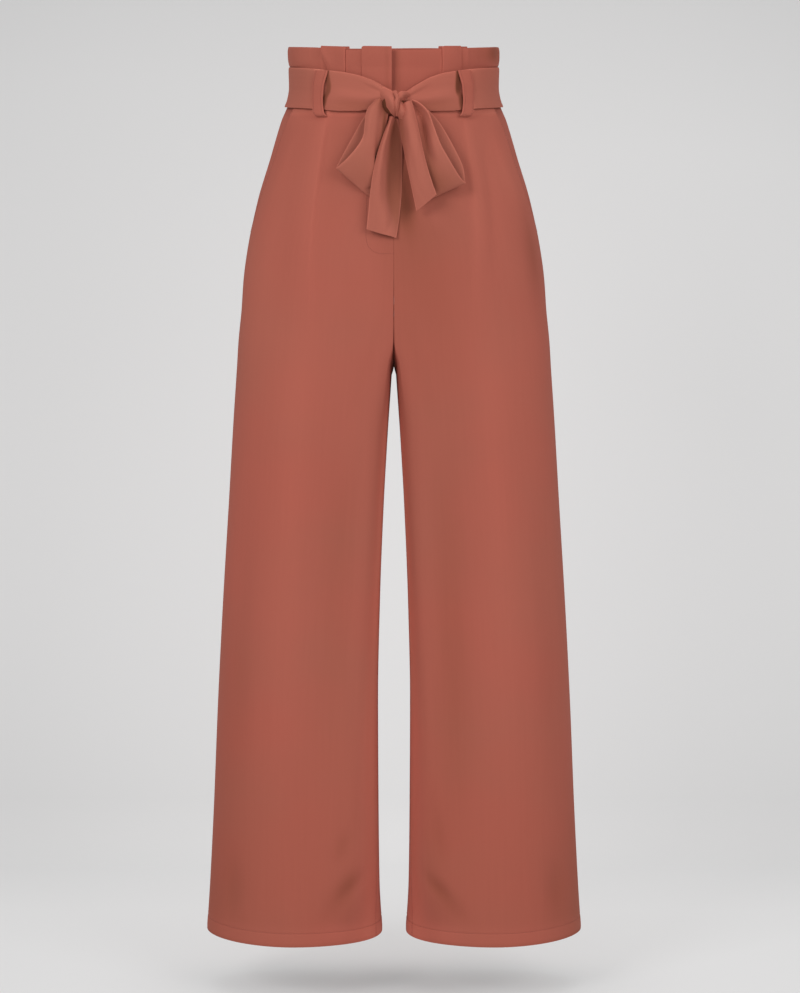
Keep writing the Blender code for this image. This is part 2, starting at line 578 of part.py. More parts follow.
def belt_knot():
    """The knot: an ellipsoid with one slanting wrap raised on it."""
    mesh_rows, mesh_columns = 12, 16
    height = np.linspace(0.0, np.pi, mesh_rows)[1:-1, None]
    round_turn = 2.0 * np.pi * np.arange(mesh_columns) / mesh_columns
    direction = np.stack([np.sin(height) * np.cos(round_turn), np.sin(height) * np.sin(round_turn),
                          np.cos(height) + 0.0 * round_turn], axis=-1)
    wrap = np.exp(-((direction[..., 2] * 0.6 + direction[..., 0] * 0.8) / 0.45) ** 2)
    points = KNOT_CENTRE + direction * KNOT_RADIUS * (0.96 + 0.04 * wrap[..., None])
    top = KNOT_CENTRE + (0.0, 0.0, 0.97 * KNOT_RADIUS[2])
    foot = KNOT_CENTRE - (0.0, 0.0, 0.97 * KNOT_RADIUS[2])
    number = np.arange(direction.shape[0] * mesh_columns).reshape(-1, mesh_columns)
    top_number, foot_number = number.size, number.size + 1
    faces = []
    for column in range(mesh_columns):
        beside = (column + 1) % mesh_columns
        faces.append((top_number, number[0, column], number[0, beside]))
        faces.append((foot_number, number[-1, beside], number[-1, column]))
        for row in range(direction.shape[0] - 1):
            first, second = number[row, column], number[row + 1, column]
            third, fourth = number[row + 1, beside], number[row, beside]
            faces += [(first, second, third), (first, third, fourth)]
    points = np.vstack([points.reshape(-1, 3), top, foot])
    add_object("belt_knot", points, [tuple(int(i) for i in face) for face in faces], BELT_COLOUR)


def clear_scene():
    """Start from an empty scene."""
    for item in list(bpy.data.objects):
        bpy.data.objects.remove(item, do_unlink=True)


def build():
    """All pieces of the trousers."""
    clear_scene()
    for side in ("right", "left"):
        for face in ("front", "back"):
            panel(side, face)
        pocket_facing(side)
    waistbands()
    belt_band()
    belt_knot()
    sash_strip("bow_loop_right", BOW_RIGHT, 27, EAR_CROWN, BESIDE_KNOT)
    sash_strip("bow_loop_left", BOW_LEFT, 29, EAR_CROWN, ON_KNOT)
    sash_strip("belt_tail_right", TAIL_RIGHT, 14, TAIL_CROWN, BESIDE_KNOT)
    sash_strip("belt_tail_left", TAIL_LEFT, 13, TAIL_CROWN, ON_KNOT)
    for name, x, face in (("front_right", -FRONT_LOOP_X, "front"), ("front_left", FRONT_LOOP_X, "front"),
                          ("back_right", -BACK_LOOP_X, "back"), ("back_left", BACK_LOOP_X, "back")):
        belt_loop("belt_loop_" + name, x, face)


build()
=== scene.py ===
"""Paperbag waist trousers: looks of the cloth, its seams and stitches, and the studio stage.

Laid out as a Blender add-on and run as a script. Lengths in the tables are millimetres and MM turns
them into metres when a mesh is made. Front faces -Y, the wearer's left is +X and +Z is up; the origin
is the middle of the waist, at mid height of the belt. Every trouser panel is a part of one surface,
body_surface(u, z): u runs round one quarter of the garment, from 0 at the side seam over CORNER at the
centre front or back to 1 at the inseam.
"""

import bpy
import numpy as np
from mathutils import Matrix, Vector


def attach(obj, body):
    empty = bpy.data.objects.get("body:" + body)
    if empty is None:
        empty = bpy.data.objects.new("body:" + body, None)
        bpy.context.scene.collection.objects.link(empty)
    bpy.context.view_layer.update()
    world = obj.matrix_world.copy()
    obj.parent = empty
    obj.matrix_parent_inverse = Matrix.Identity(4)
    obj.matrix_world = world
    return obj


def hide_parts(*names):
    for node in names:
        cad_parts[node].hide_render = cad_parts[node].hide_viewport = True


bl_info = {
    "name": "Paperbag Waist Trousers",
    "version": (1, 0, 0),
    "blender": (4, 5, 0),
    "location": "3D View > Sidebar > Trousers",
    "description": "Builds high waisted trousers with a pleated frill and a tied cloth belt",
    "category": "Add Mesh",
}

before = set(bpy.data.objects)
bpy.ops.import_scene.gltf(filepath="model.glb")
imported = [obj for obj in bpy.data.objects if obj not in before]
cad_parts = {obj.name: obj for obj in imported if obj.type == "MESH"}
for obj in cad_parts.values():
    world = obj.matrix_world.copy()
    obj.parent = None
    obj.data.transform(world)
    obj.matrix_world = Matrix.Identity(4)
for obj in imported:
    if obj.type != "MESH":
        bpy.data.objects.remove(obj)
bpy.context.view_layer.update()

MM = 0.001
WALL = 1.2                # thickness of the trouser cloth
SEAM_GAP = 0.3            # between a panel and what is sewn to it
STITCHED_GAP = 0.03       # between two panels along their seam
BELT_WALL = 2.2           # thickness of the sash round the waist
STRIP_WALL = 1.6          # of the bow loops and tails
KNOT_WALL = 1.4           # of the strips wound round the knot
LOOP_WALL = 1.6           # of the belt loops
LOOP_WIDTH = 15.0
WAIST_SEAM = -21.5        # height of the seam between waistband and panels
HEM = -1014.0
FORK = -268.0             # where the legs part at the front
BACK_FORK = -292.0        # where they part at the back
CROTCH = -330.0           # lowest point of the crotch seam
CORNER = 0.75             # u at the centre seam
POCKET_FOOT = -178.0      # height of the lower end of a pocket mouth
POCKET_LAP = 0.09         # how far in, in u, a facing goes on under the front panel
FACING_DEPTH = 2.1        # how far behind the pocket mouth its facing lies
QUARTER_ARC = 320.0       # millimetres of cloth per unit of u, about the same from hip to hem

# One row per horizontal section: height, half width at the side seam, depth of the front and of the
# back from the side seam, and half the clear space between the legs.
SECTION_COLUMNS = ("height", "side", "front", "back", "inner")
SECTIONS = np.array([
    (-1014, 227.2, 100, 70, 14.2), (-956, 223.2, 99.5, 71, 17.6), (-857, 217.7, 98, 75, 18.8),
    (-734, 212.1, 97, 82, 19.3), (-612, 205.3, 99, 92, 16.8), (-490, 197.4, 108, 105, 12),
    (-394, 191.4, 116, 122, 6.6), (-330, 186.9, 120, 138, 3.2), (-299, 184.9, 121, 145, 1.4),
    (-263, 181.2, 121, 149, 0), (-227, 178.6, 120, 149, 0), (-191, 173.7, 118, 146, 0),
    (-132, 161.1, 113, 134, 0), (-85, 146.7, 107.5, 119, 0), (-50, 136.3, 102.5, 108, 0),
    (-38, 132.4, 100.5, 104, 0), (-27, 127.6, 97.5, 100, 0), (-15, 122.8, 95.5, 97.5, 0),
    (0, 120.4, 94, 96, 0), (23, 121, 94.5, 96, 0), (34, 122.3, 96, 97, 0), (41, 122.3, 97, 98, 0),
    (48, 121.3, 97.5, 98.5, 0),
])
BODY_POWER = 2.2
LEG_OUTER_POWER = 2.2
LEG_OUTER_POWER_HEM = 1.85
LEG_INNER_POWER = 7.0
LEG_INNER_POWER_HEM = 2.1
LEG_BLEND_TOP = -200.0
LEG_BLEND_END = -410.0
SEAM_CLOSE = 0.035

# Slant pocket mouth: height, and u of its edge.
POCKET_MOUTH = np.array([
    (POCKET_FOOT, 0), (-145, 0.075), (-110, 0.123), (-80, 0.143), (-50, 0.161), (WAIST_SEAM, 0.200),
])

# Folds of the panels. Each row: u of the line at its top and at its foot, height of top and foot, rise
# (minus is a trough), and width towards the side seam and towards the centre, in u.
FRONT_FOLDS = (
    (0.440, 0.445, -180, -960, 2.6, 0.090, 0.080),
    (0.645, 0.645, -380, -860, -3, 0.070, 0.050),
    (0.240, 0.240, -420, -900, -2, 0.070, 0.070),
    (0.300, 0.200, -30, -190, 0.9, 0.050, 0.040),
)
RIGHT_FOLDS = (
    (0.452, 0.486, 30, -300, 4, 0.080, 0.012),
    (0.500, 0.540, -10, -210, -1.2, 0.030, 0.040),
    (0.640, 0.600, -190, -330, -0.8, 0.040, 0.060),
    (0.720, 0.640, -245, -420, -1, 0.022, 0.030),
)
LEFT_FOLDS = (
    (0.428, 0.490, 30, -300, 3.4, 0.060, 0.018),
    (0.370, 0.432, -50, -260, -1.1, 0.030, 0.026),
    (0.620, 0.560, -210, -360, -0.9, 0.050, 0.050),
    (0.722, 0.650, -240, -430, -1, 0.022, 0.030),
)
BACK_FOLDS = (
    (0.430, 0.430, 0, -150, -2.2, 0.012, 0.012),
    (0.450, 0.450, -200, -960, 3, 0.090, 0.080),
    (0.640, 0.640, -350, -860, -4, 0.070, 0.060),
    (0.230, 0.230, -400, -900, -2.4, 0.070, 0.070),
    (0.720, 0.560, -250, -420, -2.2, 0.024, 0.040),
    (0.700, 0.500, -300, -480, -1.5, 0.030, 0.050),
)

# Dents in the cloth. Each row: u and height of the middle, half length, half width, lean from upright in
# degrees (plus leans its top towards the centre), and depth.
RIGHT_DENTS = (
    (0.690, -950, 24, 9, 42, 2.6), (0.675, -893, 18, 7, 14, 1.1), (0.237, -951, 34, 15, 4, 1.8),
    (0.640, -978, 16, 8, 60, 0.7), (0.560, -60, 26, 9, -30, 0.8),
)
LEFT_DENTS = (
    (0.692, -948, 22, 8, 40, 2.4), (0.688, -885, 26, 6, 8, 1.2), (0.234, -951, 34, 15, 4, 1.5),
    (0.640, -975, 18, 8, 58, 0.9), (0.540, -58, 22, 9, -28, 0.7),
)
BACK_DENTS = (
    (0.650, -930, 30, 10, 30, 2.2), (0.300, -600, 60, 14, 10, 1.6), (0.560, -540, 50, 12, -35, 1.8),
    (0.600, -640, 60, 12, -25, 1.4),
)

# Painted light and shade of the front panels: shadows cast by the bow, shade in dents and creases and paler
# patches where more light falls, in rows like those of the dents, with a share of change in place of the
# depth.
RIGHT_PAINTED_SHADING = (
    (0.100, -870, 70, 24, 0, 0.04), (0.700, -1000, 12, 24, 0, 0.10), (0.735, -190, 70, 12, 0, -0.08),
    (0.660, -122, 28, 12, 0, 0.12), (0.300, -190, 90, 24, 0, 0.07), (0.180, -205, 90, 36, 0, 0.11),
    (0.690, -938, 17, 9, 35, -0.13), (0.655, -962, 18, 13, 50, -0.03), (0.668, -893, 16, 7, 10, -0.06),
    (0.245, -948, 44, 26, 0, -0.04),
)
LEFT_PAINTED_SHADING = (
    (0.640, -720, 170, 20, 0, -0.08), (0.150, -760, 150, 30, 0, 0.05), (0.700, -1000, 12, 24, 0, 0.10),
    (0.708, -117, 38, 7, 5, -0.45), (0.715, -141, 15, 9, 0, -0.18), (0.680, -180, 75, 36, 0, -0.10),
    (0.643, -133, 22, 9, 40, 0.14), (0.200, -195, 45, 16, 0, -0.14), (0.350, -190, 60, 26, 15, 0.05),
    (0.640, -280, 140, 60, 0, -0.06), (0.280, -600, 330, 28, 0, 0.03), (0.240, -95, 60, 50, 0, 0.13),
    (0.700, -942, 18, 9, 35, -0.11), (0.655, -965, 18, 13, 50, -0.05), (0.700, -880, 50, 10, 0, -0.06),
    (0.240, -960, 40, 20, 0, -0.06),
)
# Painted shade and light: for each millimetre of its relief a panel is this share darker in a trough and
# paler on a ridge.
RELIEF_PAINTED_SHADE = 0.02        # a millimetre
INSEAM_SHADE = 0.11
# Painted shade in steps down the leg, darker towards the hem as the light falls off, and a second step
# paler again near the hem: depth below the waist at which one starts and is full, share.
PAINTED_SHADING_STEPS = ((560, 1000, -0.08), (985, 1000, 0.05))
# Bands across a panel: height, half width, share. The first two lie under the belt, painted light against
# the belt's shadow; the last is painted shade along the hem's edge.
PAINTED_SHADING_BANDS = ((-27, 3.5, 0.26), (-27, 12, 0.08), (HEM, 1.3, -0.12))
# Upright stripes of painted light and shade, paler down the outer hip and thigh and darker down the outer
# side of the lower leg: u, half width in u, depths at which one starts, is full, begins to end and has
# ended, and share.
PAINTED_SHADING_STRIPES = ((0.22, 0.12, 170, 320, 540, 720, 0.09), (0.08, 0.10, 720, 980, 1100, 1200, -0.09))
# Painted light on the inner side of a leg, where the other leg shades it: height, u at which it starts and
# is full on the right, share.
INNER_PAINTED_LIGHT = np.array([
    (HEM, 0.690, 0.850, 0.34), (-975, 0.690, 0.840, 0.40), (-880, 0.705, 0.810, 0.44),
    (-760, 0.710, 0.795, 0.44), (-640, 0.725, 0.795, 0.47), (-524, 0.732, 0.797, 0.57),
    (-405, 0.740, 0.800, 0.64), (CROTCH, 0.750, 0.800, 0),
])
INNER_LAG = 0.02          # how much further in, in u, it starts on the left

# Waistband pleats: u of each fold edge, counted on past 1 round the back, and how far the fold's edge
# runs towards the centre from the frill's top down to the belt, in u.
TUCK = 0.034              # how far a pleat is folded under, in u
FRILL_WALL = 0.7
LAYER_PITCH = 0.85        # from layer to layer in the belt
TOP_PITCH = 0.95          # the same at the top of the frill
HAIRPIN = 0.0016          # how far the bend of a fold goes past its edge, in u
RIGHT_PLEATS = (("rise", 0.408, 0.030), ("fall", 0.527, -0.002), ("rise", 0.607, 0))
LEFT_PLEATS = (("rise", 0.434, -0.002), ("fall", 0.528, -0.004))
BACK_PLEATS = (("rise", 0.386, 0.01), ("fall", 0.536, 0), ("rise", 0.964, 0), ("fall", 1.114, -0.01))
# Painted light at a fold's edge, against the shadow line of its step: how far past the edge in u, half
# width, share.
PLEAT_PAINTED_LIGHT = {"rise": (-0.005, 0.006, 0.10), "fall": (0.004, 0.005, 0.17)}
FLY_EDGE = 0.741
UNDERLAP_EDGE = 0.809

# Height of the frill's top edge at u, where its cloth is the lower layer; each layer over it stands
# LAYER_LIFT higher.
LAYER_LIFT = 1.3
SIDE_FLARE = 2.2          # how far the frill stands out over the belt at the sides
FRILL_FOOT = 20.0         # height at which the frill leaves the belt
FRILL_HEIGHT = 26.0
RIGHT_TOP = np.array([
    (0, 46.2), (0.03, 47.1), (0.12, 47.6), (0.30, 47.3), (0.395, 46.8), (0.415, 46.3), (0.515, 45.6),
    (0.535, 44), (0.595, 43.9), (0.615, 46.2), (0.75, 45.8),
])
LEFT_TOP = np.array([
    (0, 45.6), (0.03, 46.8), (0.12, 47.5), (0.30, 47), (0.425, 46.4), (0.445, 46.3), (0.515, 46.3),
    (0.535, 45.3), (0.66, 44.1), (0.82, 43.6),
])
BACK_TOP = np.array([
    (0, 45.4), (0.10, 46.6), (0.38, 45.5), (0.60, 46.2), (0.90, 45.6), (1.12, 45.9), (1.40, 46.6),
    (1.50, 45.3),
])

# Painted light and shade of the waistband, such as the fly's shadow and the shade of the frill's side where
# it turns from the light, in rows like those of the panels.
RIGHT_BAND_PAINTED_SHADING = ((0.722, 20, 80, 4, 0, -0.09), (0.300, 40, 22, 26, 0, 0.10), (0.360, 24, 9, 26, 0, 0.15))
LEFT_BAND_PAINTED_SHADING = (
    (0.170, 41, 13, 40, 0, -0.30), (0.240, 24, 7, 42, 0, 0.10), (0.732, 20, 80, 4, 0, -0.08),
    (0.752, 20, 80, 2.2, 0, 0.14),
)

# Soft ridges and troughs of the frill, as (u at the top, u at the belt, rise, width, lowest height).
RIGHT_FRILL = (
    (0.05, 0.05, 0.8, 0.05, 20), (0.25, 0.27, -0.9, 0.06, 20), (0.34, 0.37, -0.4, 0.02, 18),
    (0.405, 0.455, 0.9, 0.020, 16), (0.475, 0.49, -0.8, 0.03, 12), (0.585, 0.585, -0.9, 0.025, 5),
    (0.738, 0.738, 2.4, 0.030, -16),
)
LEFT_FRILL = (
    (0.11, 0.14, -1.6, 0.055, 20), (0.24, 0.27, 1.2, 0.04, 20), (0.395, 0.39, 0.9, 0.012, 18),
    (0.44, 0.425, -0.9, 0.016, 18), (0.50, 0.50, 0.7, 0.03, 14), (0.64, 0.62, -0.7, 0.045, 0),
    (0.757, 0.757, -2.6, 0.026, -18),
)
BACK_FRILL = (
    (0.15, 0.15, 0.8, 0.06, 20), (0.28, 0.28, -0.9, 0.05, 20), (0.46, 0.46, 0.6, 0.04, 20),
    (0.75, 0.75, -0.8, 0.07, 20), (1.05, 1.05, 0.7, 0.05, 20), (1.22, 1.22, -0.9, 0.06, 20),
    (1.38, 1.38, 0.7, 0.05, 20),
)

# The sash round the waist: distance from the centre front, height of its upper edge on the right and on the
# left, and of its lower edge.
BELT_EDGE = np.array([
    (0, -3, -8, -16), (10, 2, -5, -17.5), (22, 8.9, 2.2, -22.3), (30, 12.1, 7.1, -24.4),
    (40, 15.4, 12.6, -25.6), (57, 18.9, 18.2, -25.6), (74, 21, 20.8, -24.6), (86, 22.2, 22.2, -23.5),
    (108, 23.5, 23.5, -22.8), (125, 23.8, 23.8, -22.8),
])
# Clearance of the sash from the body surface by distance from the centre front, and what the back adds.
BELT_CLEAR = np.array([(0, 4.9), (25, 4.6), (50, 4.5), (90, 4.4), (112, 1.7), (125, 1)])
BELT_CLEAR_BACK = 3.4
ARM_SWELL = 6.3           # how far the arms swell out to meet the knot
# Soft spots of the sash, each with share up its width, distance from the centre front, the two half widths
# and amount: rises of its outer face, shifts of its whole wall, and painted shade.
BELT_RISES = ((0.84, 26, 0.10, 18, 0.5),)
BELT_SHIFTS = ((0, 66, 0.10, 24, -0.5),)
BELT_PAINTED_SHADE = ((0.12, 34, 0.14, 16, -0.08),)
# Painted highlight along both edges of the sash.
BELT_EDGE_PAINTED_HIGHLIGHT = 0.18
# Distance from the centre front at which the shade beside a front belt loop starts: height, right, left.
LOOP_SHADE = np.array([
    (-24, 75.4, 71.4), (-18, 73.8, 71), (-11, 73.2, 71.4), (-4, 70.4, 68.8), (3, 69.8, 68.6),
    (9, 70.6, 68.8), (17, 71.6, 69.2),
])

# A belt loop's course: its height, clearance from the body surface at its edge towards the side seam and
# at its edge towards the centre, and how far each of the two edges is drawn towards the side seam.
LOOP_COURSE = np.array([
    (-32.6, 3, 3, -5, -3.8), (-32, 4.2, 4.2, -4.8, -3.6), (-30.6, 5.6, 5.8, -3.4, -2.6),
    (-27, 6.7, 7.2, -0.4, -0.2), (-17, 7.2, 8.8, 3.2, 3), (-7, 7.4, 9.8, 5.6, 3.9), (3, 7.4, 9.4, 6.4, 3.5),
    (10, 7.3, 8.4, 5, 2), (16, 7.2, 7.5, 3.2, 0.3), (19.6, 6.9, 6.9, 2, -0.5), (20.8, 6.6, 6.6, 1.8, -0.5),
])
# Belt loops: name, x of the middle, and face.
LOOPS = (
    ("front_right", -79.1, "front"),
    ("front_left", 77.5, "front"),
    ("back_right", -62.0, "back"),
    ("back_left", 62.0, "back"),
)

# The fly's curved stitch line on the right front, as (u, z).
FLY_STITCHES = np.array([
    (0.655, -30), (0.656, -85), (0.657, -139), (0.661, -172), (0.677, -184.5), (0.703, -189),
    (0.748, -188.5),
])

# Bow. Each row is one station along a strip: five points across it, from its side edge to its centre
# edge, each as x, y, z. The first eight rows of a bow loop are its front layer and the rest its back layer.
KNOT_CENTRE = np.array((-0.5, -111.9, -17.5))
KNOT_RADIUS = np.array((16.0, 8.8, 15.5))
BOW_RIGHT = np.array([
    (-21.8, -108, -13.6, -18.9, -111, -12.4, -16, -113, -11.8, -13.2, -109.5, -14.1, -9.8, -108.8, -17),
    (-30.4, -116, -24.3, -25.2, -120, -21.9, -18.9, -119.5, -20.8, -13.2, -113, -24.4, -6.6, -110, -26.7),
    (-32.9, -121, -37.9, -27.5, -124, -36.7, -20.6, -122, -36.7, -14.3, -117, -38, -8, -112.5, -38.1),
    (-35, -122.5, -53.8, -28.6, -125.5, -56, -22.3, -123.5, -56.1,
     -16.8, -118.5, -56.3, -10.6, -114.5, -56.4),
    (-41.9, -123.5, -65.8, -31.5, -126, -69.7, -23.5, -124, -73.2, -20.7, -119, -73.5, -16.7, -116, -73.6),
    (-52.2, -122, -77.8, -37.3, -124, -86.9, -24.1, -123.5, -92.7, -22.4, -119, -92.9, -19.6, -116.5, -93),
    (-61.4, -119, -86.5, -45.4, -119.5, -99.6, -26.4, -119.5, -108.8,
     -24.1, -117, -108.9, -22.4, -115.5, -110.2),
    (-66.1, -115.5, -90.6, -54.6, -115.5, -100.3, -40.3, -115.5, -112.3,
     -31.6, -115, -119.2, -25.3, -114.5, -123.9),
    (-65, -112, -87.8, -53.5, -111.5, -97.6, -39.7, -112, -109, -31.7, -112, -115.9, -24.8, -112, -120.5),
    (-55.8, -110, -70.2, -48.9, -109.5, -77, -39.7, -109.5, -85, -31.7, -109.5, -90.8, -23.6, -110, -95.3),
    (-45.5, -108.5, -51.9, -40.9, -108.5, -57.6, -35.1, -109, -63.3,
     -28.2, -109.5, -66.8, -21.3, -110, -70.2),
    (-35.7, -106.3, -34.8, -32.8, -106.3, -38.2, -28.2, -106.5, -41.6,
     -23.6, -107, -43.9, -17.8, -107.5, -45),
    (-24.7, -105.2, -21, -22.4, -105.2, -23.3, -19, -105.4, -25.6,
     -15.5, -105.6, -26.8, -10.9, -105.8, -27.9),
])
BOW_LEFT = np.array([
    (21.3, -112.5, -12.4, 20.7, -111, -14.1, 19.6, -111, -16.4, 17.8, -111.5, -18.7, 15.5, -112, -22.1),
    (30.4, -118, -16.8, 28.2, -112.5, -20.9, 25.9, -110.5, -24.3, 22.4, -115, -26.6, 18.4, -115, -28.9),
    (39.6, -122.5, -26.5, 36.2, -117.5, -30, 32.2, -112.5, -32.9, 27, -118, -34.5, 21.3, -117, -35.7),
    (45.9, -125, -42.4, 41.3, -121.5, -45.9, 36.2, -112.8, -48.3, 29.9, -118.5, -49.4, 23.6, -119, -49.4),
    (53.9, -127, -62.9, 47.1, -127, -67.4, 39.7, -119, -69.9, 32.8, -121, -69.9, 25.9, -121, -69.9),
    (64.9, -125.5, -82.3, 55.7, -126, -88, 46.5, -124, -91.5, 37.9, -122.5, -92.7, 29.9, -121, -92.8),
    (75.8, -121, -100.1, 64.9, -121.5, -105.2, 54.6, -121.5, -109.8,
     44.3, -120, -112.2, 35.1, -120, -112.3),
    (82.3, -116, -107.2, 70.8, -116.5, -112.3, 59.3, -116.5, -117.4,
     48.9, -116.5, -122.1, 39.2, -118, -126.1),
    (82, -112.5, -104.4, 70.8, -112.5, -109.6, 59.3, -113, -114.1, 49, -113, -118.2, 39.2, -115, -122.2),
    (79.5, -110.5, -88.5, 68.5, -110.5, -93, 57, -111, -96.4, 46.7, -111.5, -98.7, 36.9, -113, -99.9),
    (68, -109.5, -64.5, 58.7, -110.5, -69, 50.1, -111.5, -72.4, 40.9, -111.5, -74.7, 32.3, -111.5, -75.9),
    (53, -107, -39.3, 46.6, -108, -43.9, 39.2, -109, -47.3, 31.7, -109, -48.4, 25.3, -109, -48.4),
    (39.2, -105.6, -23.9, 35.1, -106, -26.8, 29.9, -106.5, -29, 25.9, -106.6, -30.2, 20.7, -106.5, -30.2),
])
TAIL_RIGHT = np.array([
    (-4.6, -110, -32.4, -2.8, -114, -31.8, -0.5, -112, -32.4, 1.7, -107.5, -33.6, 5.2, -107.5, -34.7),
    (-6.3, -115, -39.2, -4.2, -119, -38.5, -1.7, -113.5, -39.1, 1.2, -107.5, -40.5, 6.3, -107.5, -41.6),
    (-10.9, -119, -50.5, -7.4, -123, -50.4, -4, -117, -51.6, 0, -109, -53, 8.7, -108, -54.2),
    (-17.8, -123, -71, -13.1, -127, -70.8, -8, -121, -72, -2.3, -112, -73.6, 9.8, -108.5, -73.7),
    (-23.5, -125, -94.9, -16.6, -128.5, -94.8, -10.3, -122.5, -96, -3.4, -113.5, -97.6, 9.6, -109.5, -98.9),
    (-27, -125.5, -118.9, -18.9, -128.5, -120, -11.5, -124, -121.2, -4, -116, -122.8, 8.7, -112, -124.1),
    (-29.3, -124.5, -141.9, -20.1, -127, -144.1, -10.9, -126.5, -145.3,
     -2.3, -119, -146.8, 6.3, -115.5, -148.1),
    (-31.3, -123, -160.4, -22.4, -124.5, -163.2, -13.2, -124.5, -166,
     -4.6, -122.5, -168.4, 2.7, -120.5, -170.9),
])
TAIL_LEFT = np.array([
    (20.1, -115, -13.5, 17.3, -118, -14, 14.4, -118.5, -15.1, 11.5, -116, -16.9, 9.2, -112.5, -18.6),
    (23, -119, -23.1, 19, -123, -24.2, 15, -122.5, -25.3, 10.4, -117, -26.6, 6.4, -112, -27.8),
    (25.9, -122, -34.4, 21.2, -126.5, -35.5, 15.5, -126, -36.6, 10.4, -118, -38, 6.7, -112.5, -39.2),
    (29.3, -125.5, -50.3, 24.7, -129.5, -51.4, 18.4, -129, -52.5, 12.7, -121, -53.9, 8.6, -115, -55.2),
    (33.3, -128.5, -68.5, 28.7, -132, -69.6, 22.4, -132, -70.7, 16.7, -127, -72, 12.4, -121, -73.3),
    (37.9, -130, -86.7, 33.3, -132.5, -88.9, 27, -132.5, -90.1, 20.7, -129.5, -91.3, 16.3, -126, -92.6),
    (43.6, -129.5, -105.1, 38.5, -131.5, -109, 31.6, -131.5, -111.8,
     25.3, -129.5, -114.2, 21.1, -127, -115.4),
    (49.1, -127.5, -120.4, 43.7, -128.5, -125.1, 37.4, -128.5, -130.3,
     31.1, -127, -135.5, 26.1, -125, -139.6),
])

# The knot's wraps: three points across each station, each as x, y, z.
WRAP_MAIN = np.array([
    (-19, -96.5, 4.2, -21.3, -97, -1.7, -23.6, -96, -8),
    (-11.5, -102.6, 1.6, -14.9, -104.4, -4.2, -17.8, -101, -9.6),
    (-3.8, -109, -2.1, -8, -114.5, -8.3, -13.2, -108.5, -14.1),
    (1.2, -114, -6.6, -3.4, -120.5, -12.8, -9.2, -114, -19.2),
    (2.7, -117, -12.3, -1.1, -122.5, -17.9, -5.7, -116.5, -23.7),
    (3.1, -117, -19.7, 0.6, -120.5, -23.6, -2.8, -115.5, -28.3),
    (3.2, -112, -27.8, 2.4, -112.5, -30.1, 1.3, -110, -32.4),
])
WRAP_NARROW = np.array([
    (-1.1, -110, -3.3, 1, -112, -2.4, 3.5, -110, -3),
    (0.4, -117, -6.2, 2.9, -119, -5.4, 5.9, -115.5, -7.4),
    (2.2, -120, -11.1, 4.3, -121.5, -10.5, 6.6, -119, -11.1),
    (0.9, -121.5, -15.6, 3.5, -123.5, -16.2, 6.4, -119.5, -16.8),
    (1.5, -121, -21.9, 3.8, -122.8, -22.2, 5.9, -118.5, -22.6),
    (2.9, -114, -30.6, 4.3, -115, -31.4, 5.7, -113, -32.1),
])
LOBE_UPPER = np.array([
    (16.7, -104, -4.1, 17.3, -105, -7.3, 16.7, -103, -10.8),
    (12.7, -110, -3.3, 13.2, -113, -6.6, 13.2, -109.5, -10.9),
    (8.6, -114, -3.2, 9.8, -117.5, -7.7, 10.3, -112, -14.1),
    (5.5, -115, -4.9, 6.1, -118, -10, 7.3, -113.5, -15.9),
])
LOBE_LOWER = np.array([
    (5.5, -113, -14.1, 7.7, -116, -14.6, 9.8, -113.5, -15.8),
    (5, -117, -19.7, 8.4, -120.5, -20.2, 12.1, -118.5, -21.4),
    (4.7, -118, -26.5, 9.6, -122, -27, 14.7, -120, -27.6),
    (5.8, -113.5, -33.5, 9.8, -117.5, -34.5, 15, -116.5, -35.7),
])

# Painted light and shade of the strips, where they turn from the light or lie in the knot's shade: share
# along and across of the middle, half length and half width as shares, change.
STRIP_PAINTED_SHADING = {
    "bow_loop_right": ((0.03, 0.80, 0.06, 0.50, -0.24), (0.17, 0.86, 0.12, 0.07, -0.30),
                       (0.45, 0.50, 0.12, 0.70, -0.07)),
    "bow_loop_left": ((0.22, 0.45, 0.12, 0.16, 0.10), (0.40, 0.62, 0.08, 0.22, -0.20),
                      (0.50, 0.60, 0.08, 0.50, -0.20)),
    "belt_tail_right": ((0.26, 0.55, 0.12, 0.16, -0.26), (0.45, 0.80, 0.30, 0.16, -0.26),
                        (0.92, 0.62, 0.12, 0.20, 0.10)),
}
# Painted highlight on the edges of the strips.
EDGE_PAINTED_HIGHLIGHT = 0.30           # how much paler the edges of the strips are


# ---------------------------------------------------------------- settings

class TrouserSettings(bpy.types.PropertyGroup):
    """Sizes and colours that a user would change."""
    cloth_colour: bpy.props.FloatVectorProperty(
        name="Cloth", description="Colour of the trouser cloth", subtype="COLOR", size=3, min=0.0, max=1.0,
        default=(0.400, 0.1088, 0.0764))
    belt_colour: bpy.props.FloatVectorProperty(
        name="Belt", description="Colour of the tied belt", subtype="COLOR", size=3, min=0.0, max=1.0,
        default=(0.412, 0.1210, 0.0845))
    thread_colour: bpy.props.FloatVectorProperty(
        name="Thread", description="Colour of the sewing thread", subtype="COLOR", size=3, min=0.0, max=1.0,
        default=(0.290, 0.070, 0.047))
    stitch_length: bpy.props.FloatProperty(
        name="Stitch length", description="Length of one stitch", default=2.8 * MM, min=0.001, max=0.01,
        unit="LENGTH")
    hem_depth: bpy.props.FloatProperty(
        name="Hem depth", description="Height of the hem's stitch line over the leg's edge",
        default=16.5 * MM, min=0.005, max=0.06, unit="LENGTH")
    grain: bpy.props.FloatProperty(
        name="Grain", description="Strength of the cloth's fine grain", default=0.22, min=0.0, max=1.0,
        subtype="FACTOR")
    key_power: bpy.props.FloatProperty(
        name="Key light", description="Power of the large soft light", default=54.0, min=0.0, max=1000.0,
        unit="POWER")


def settings():
    """The scene's trouser settings."""
    return bpy.context.scene.trouser_settings


# ---------------------------------------------------------------- curves and surfaces

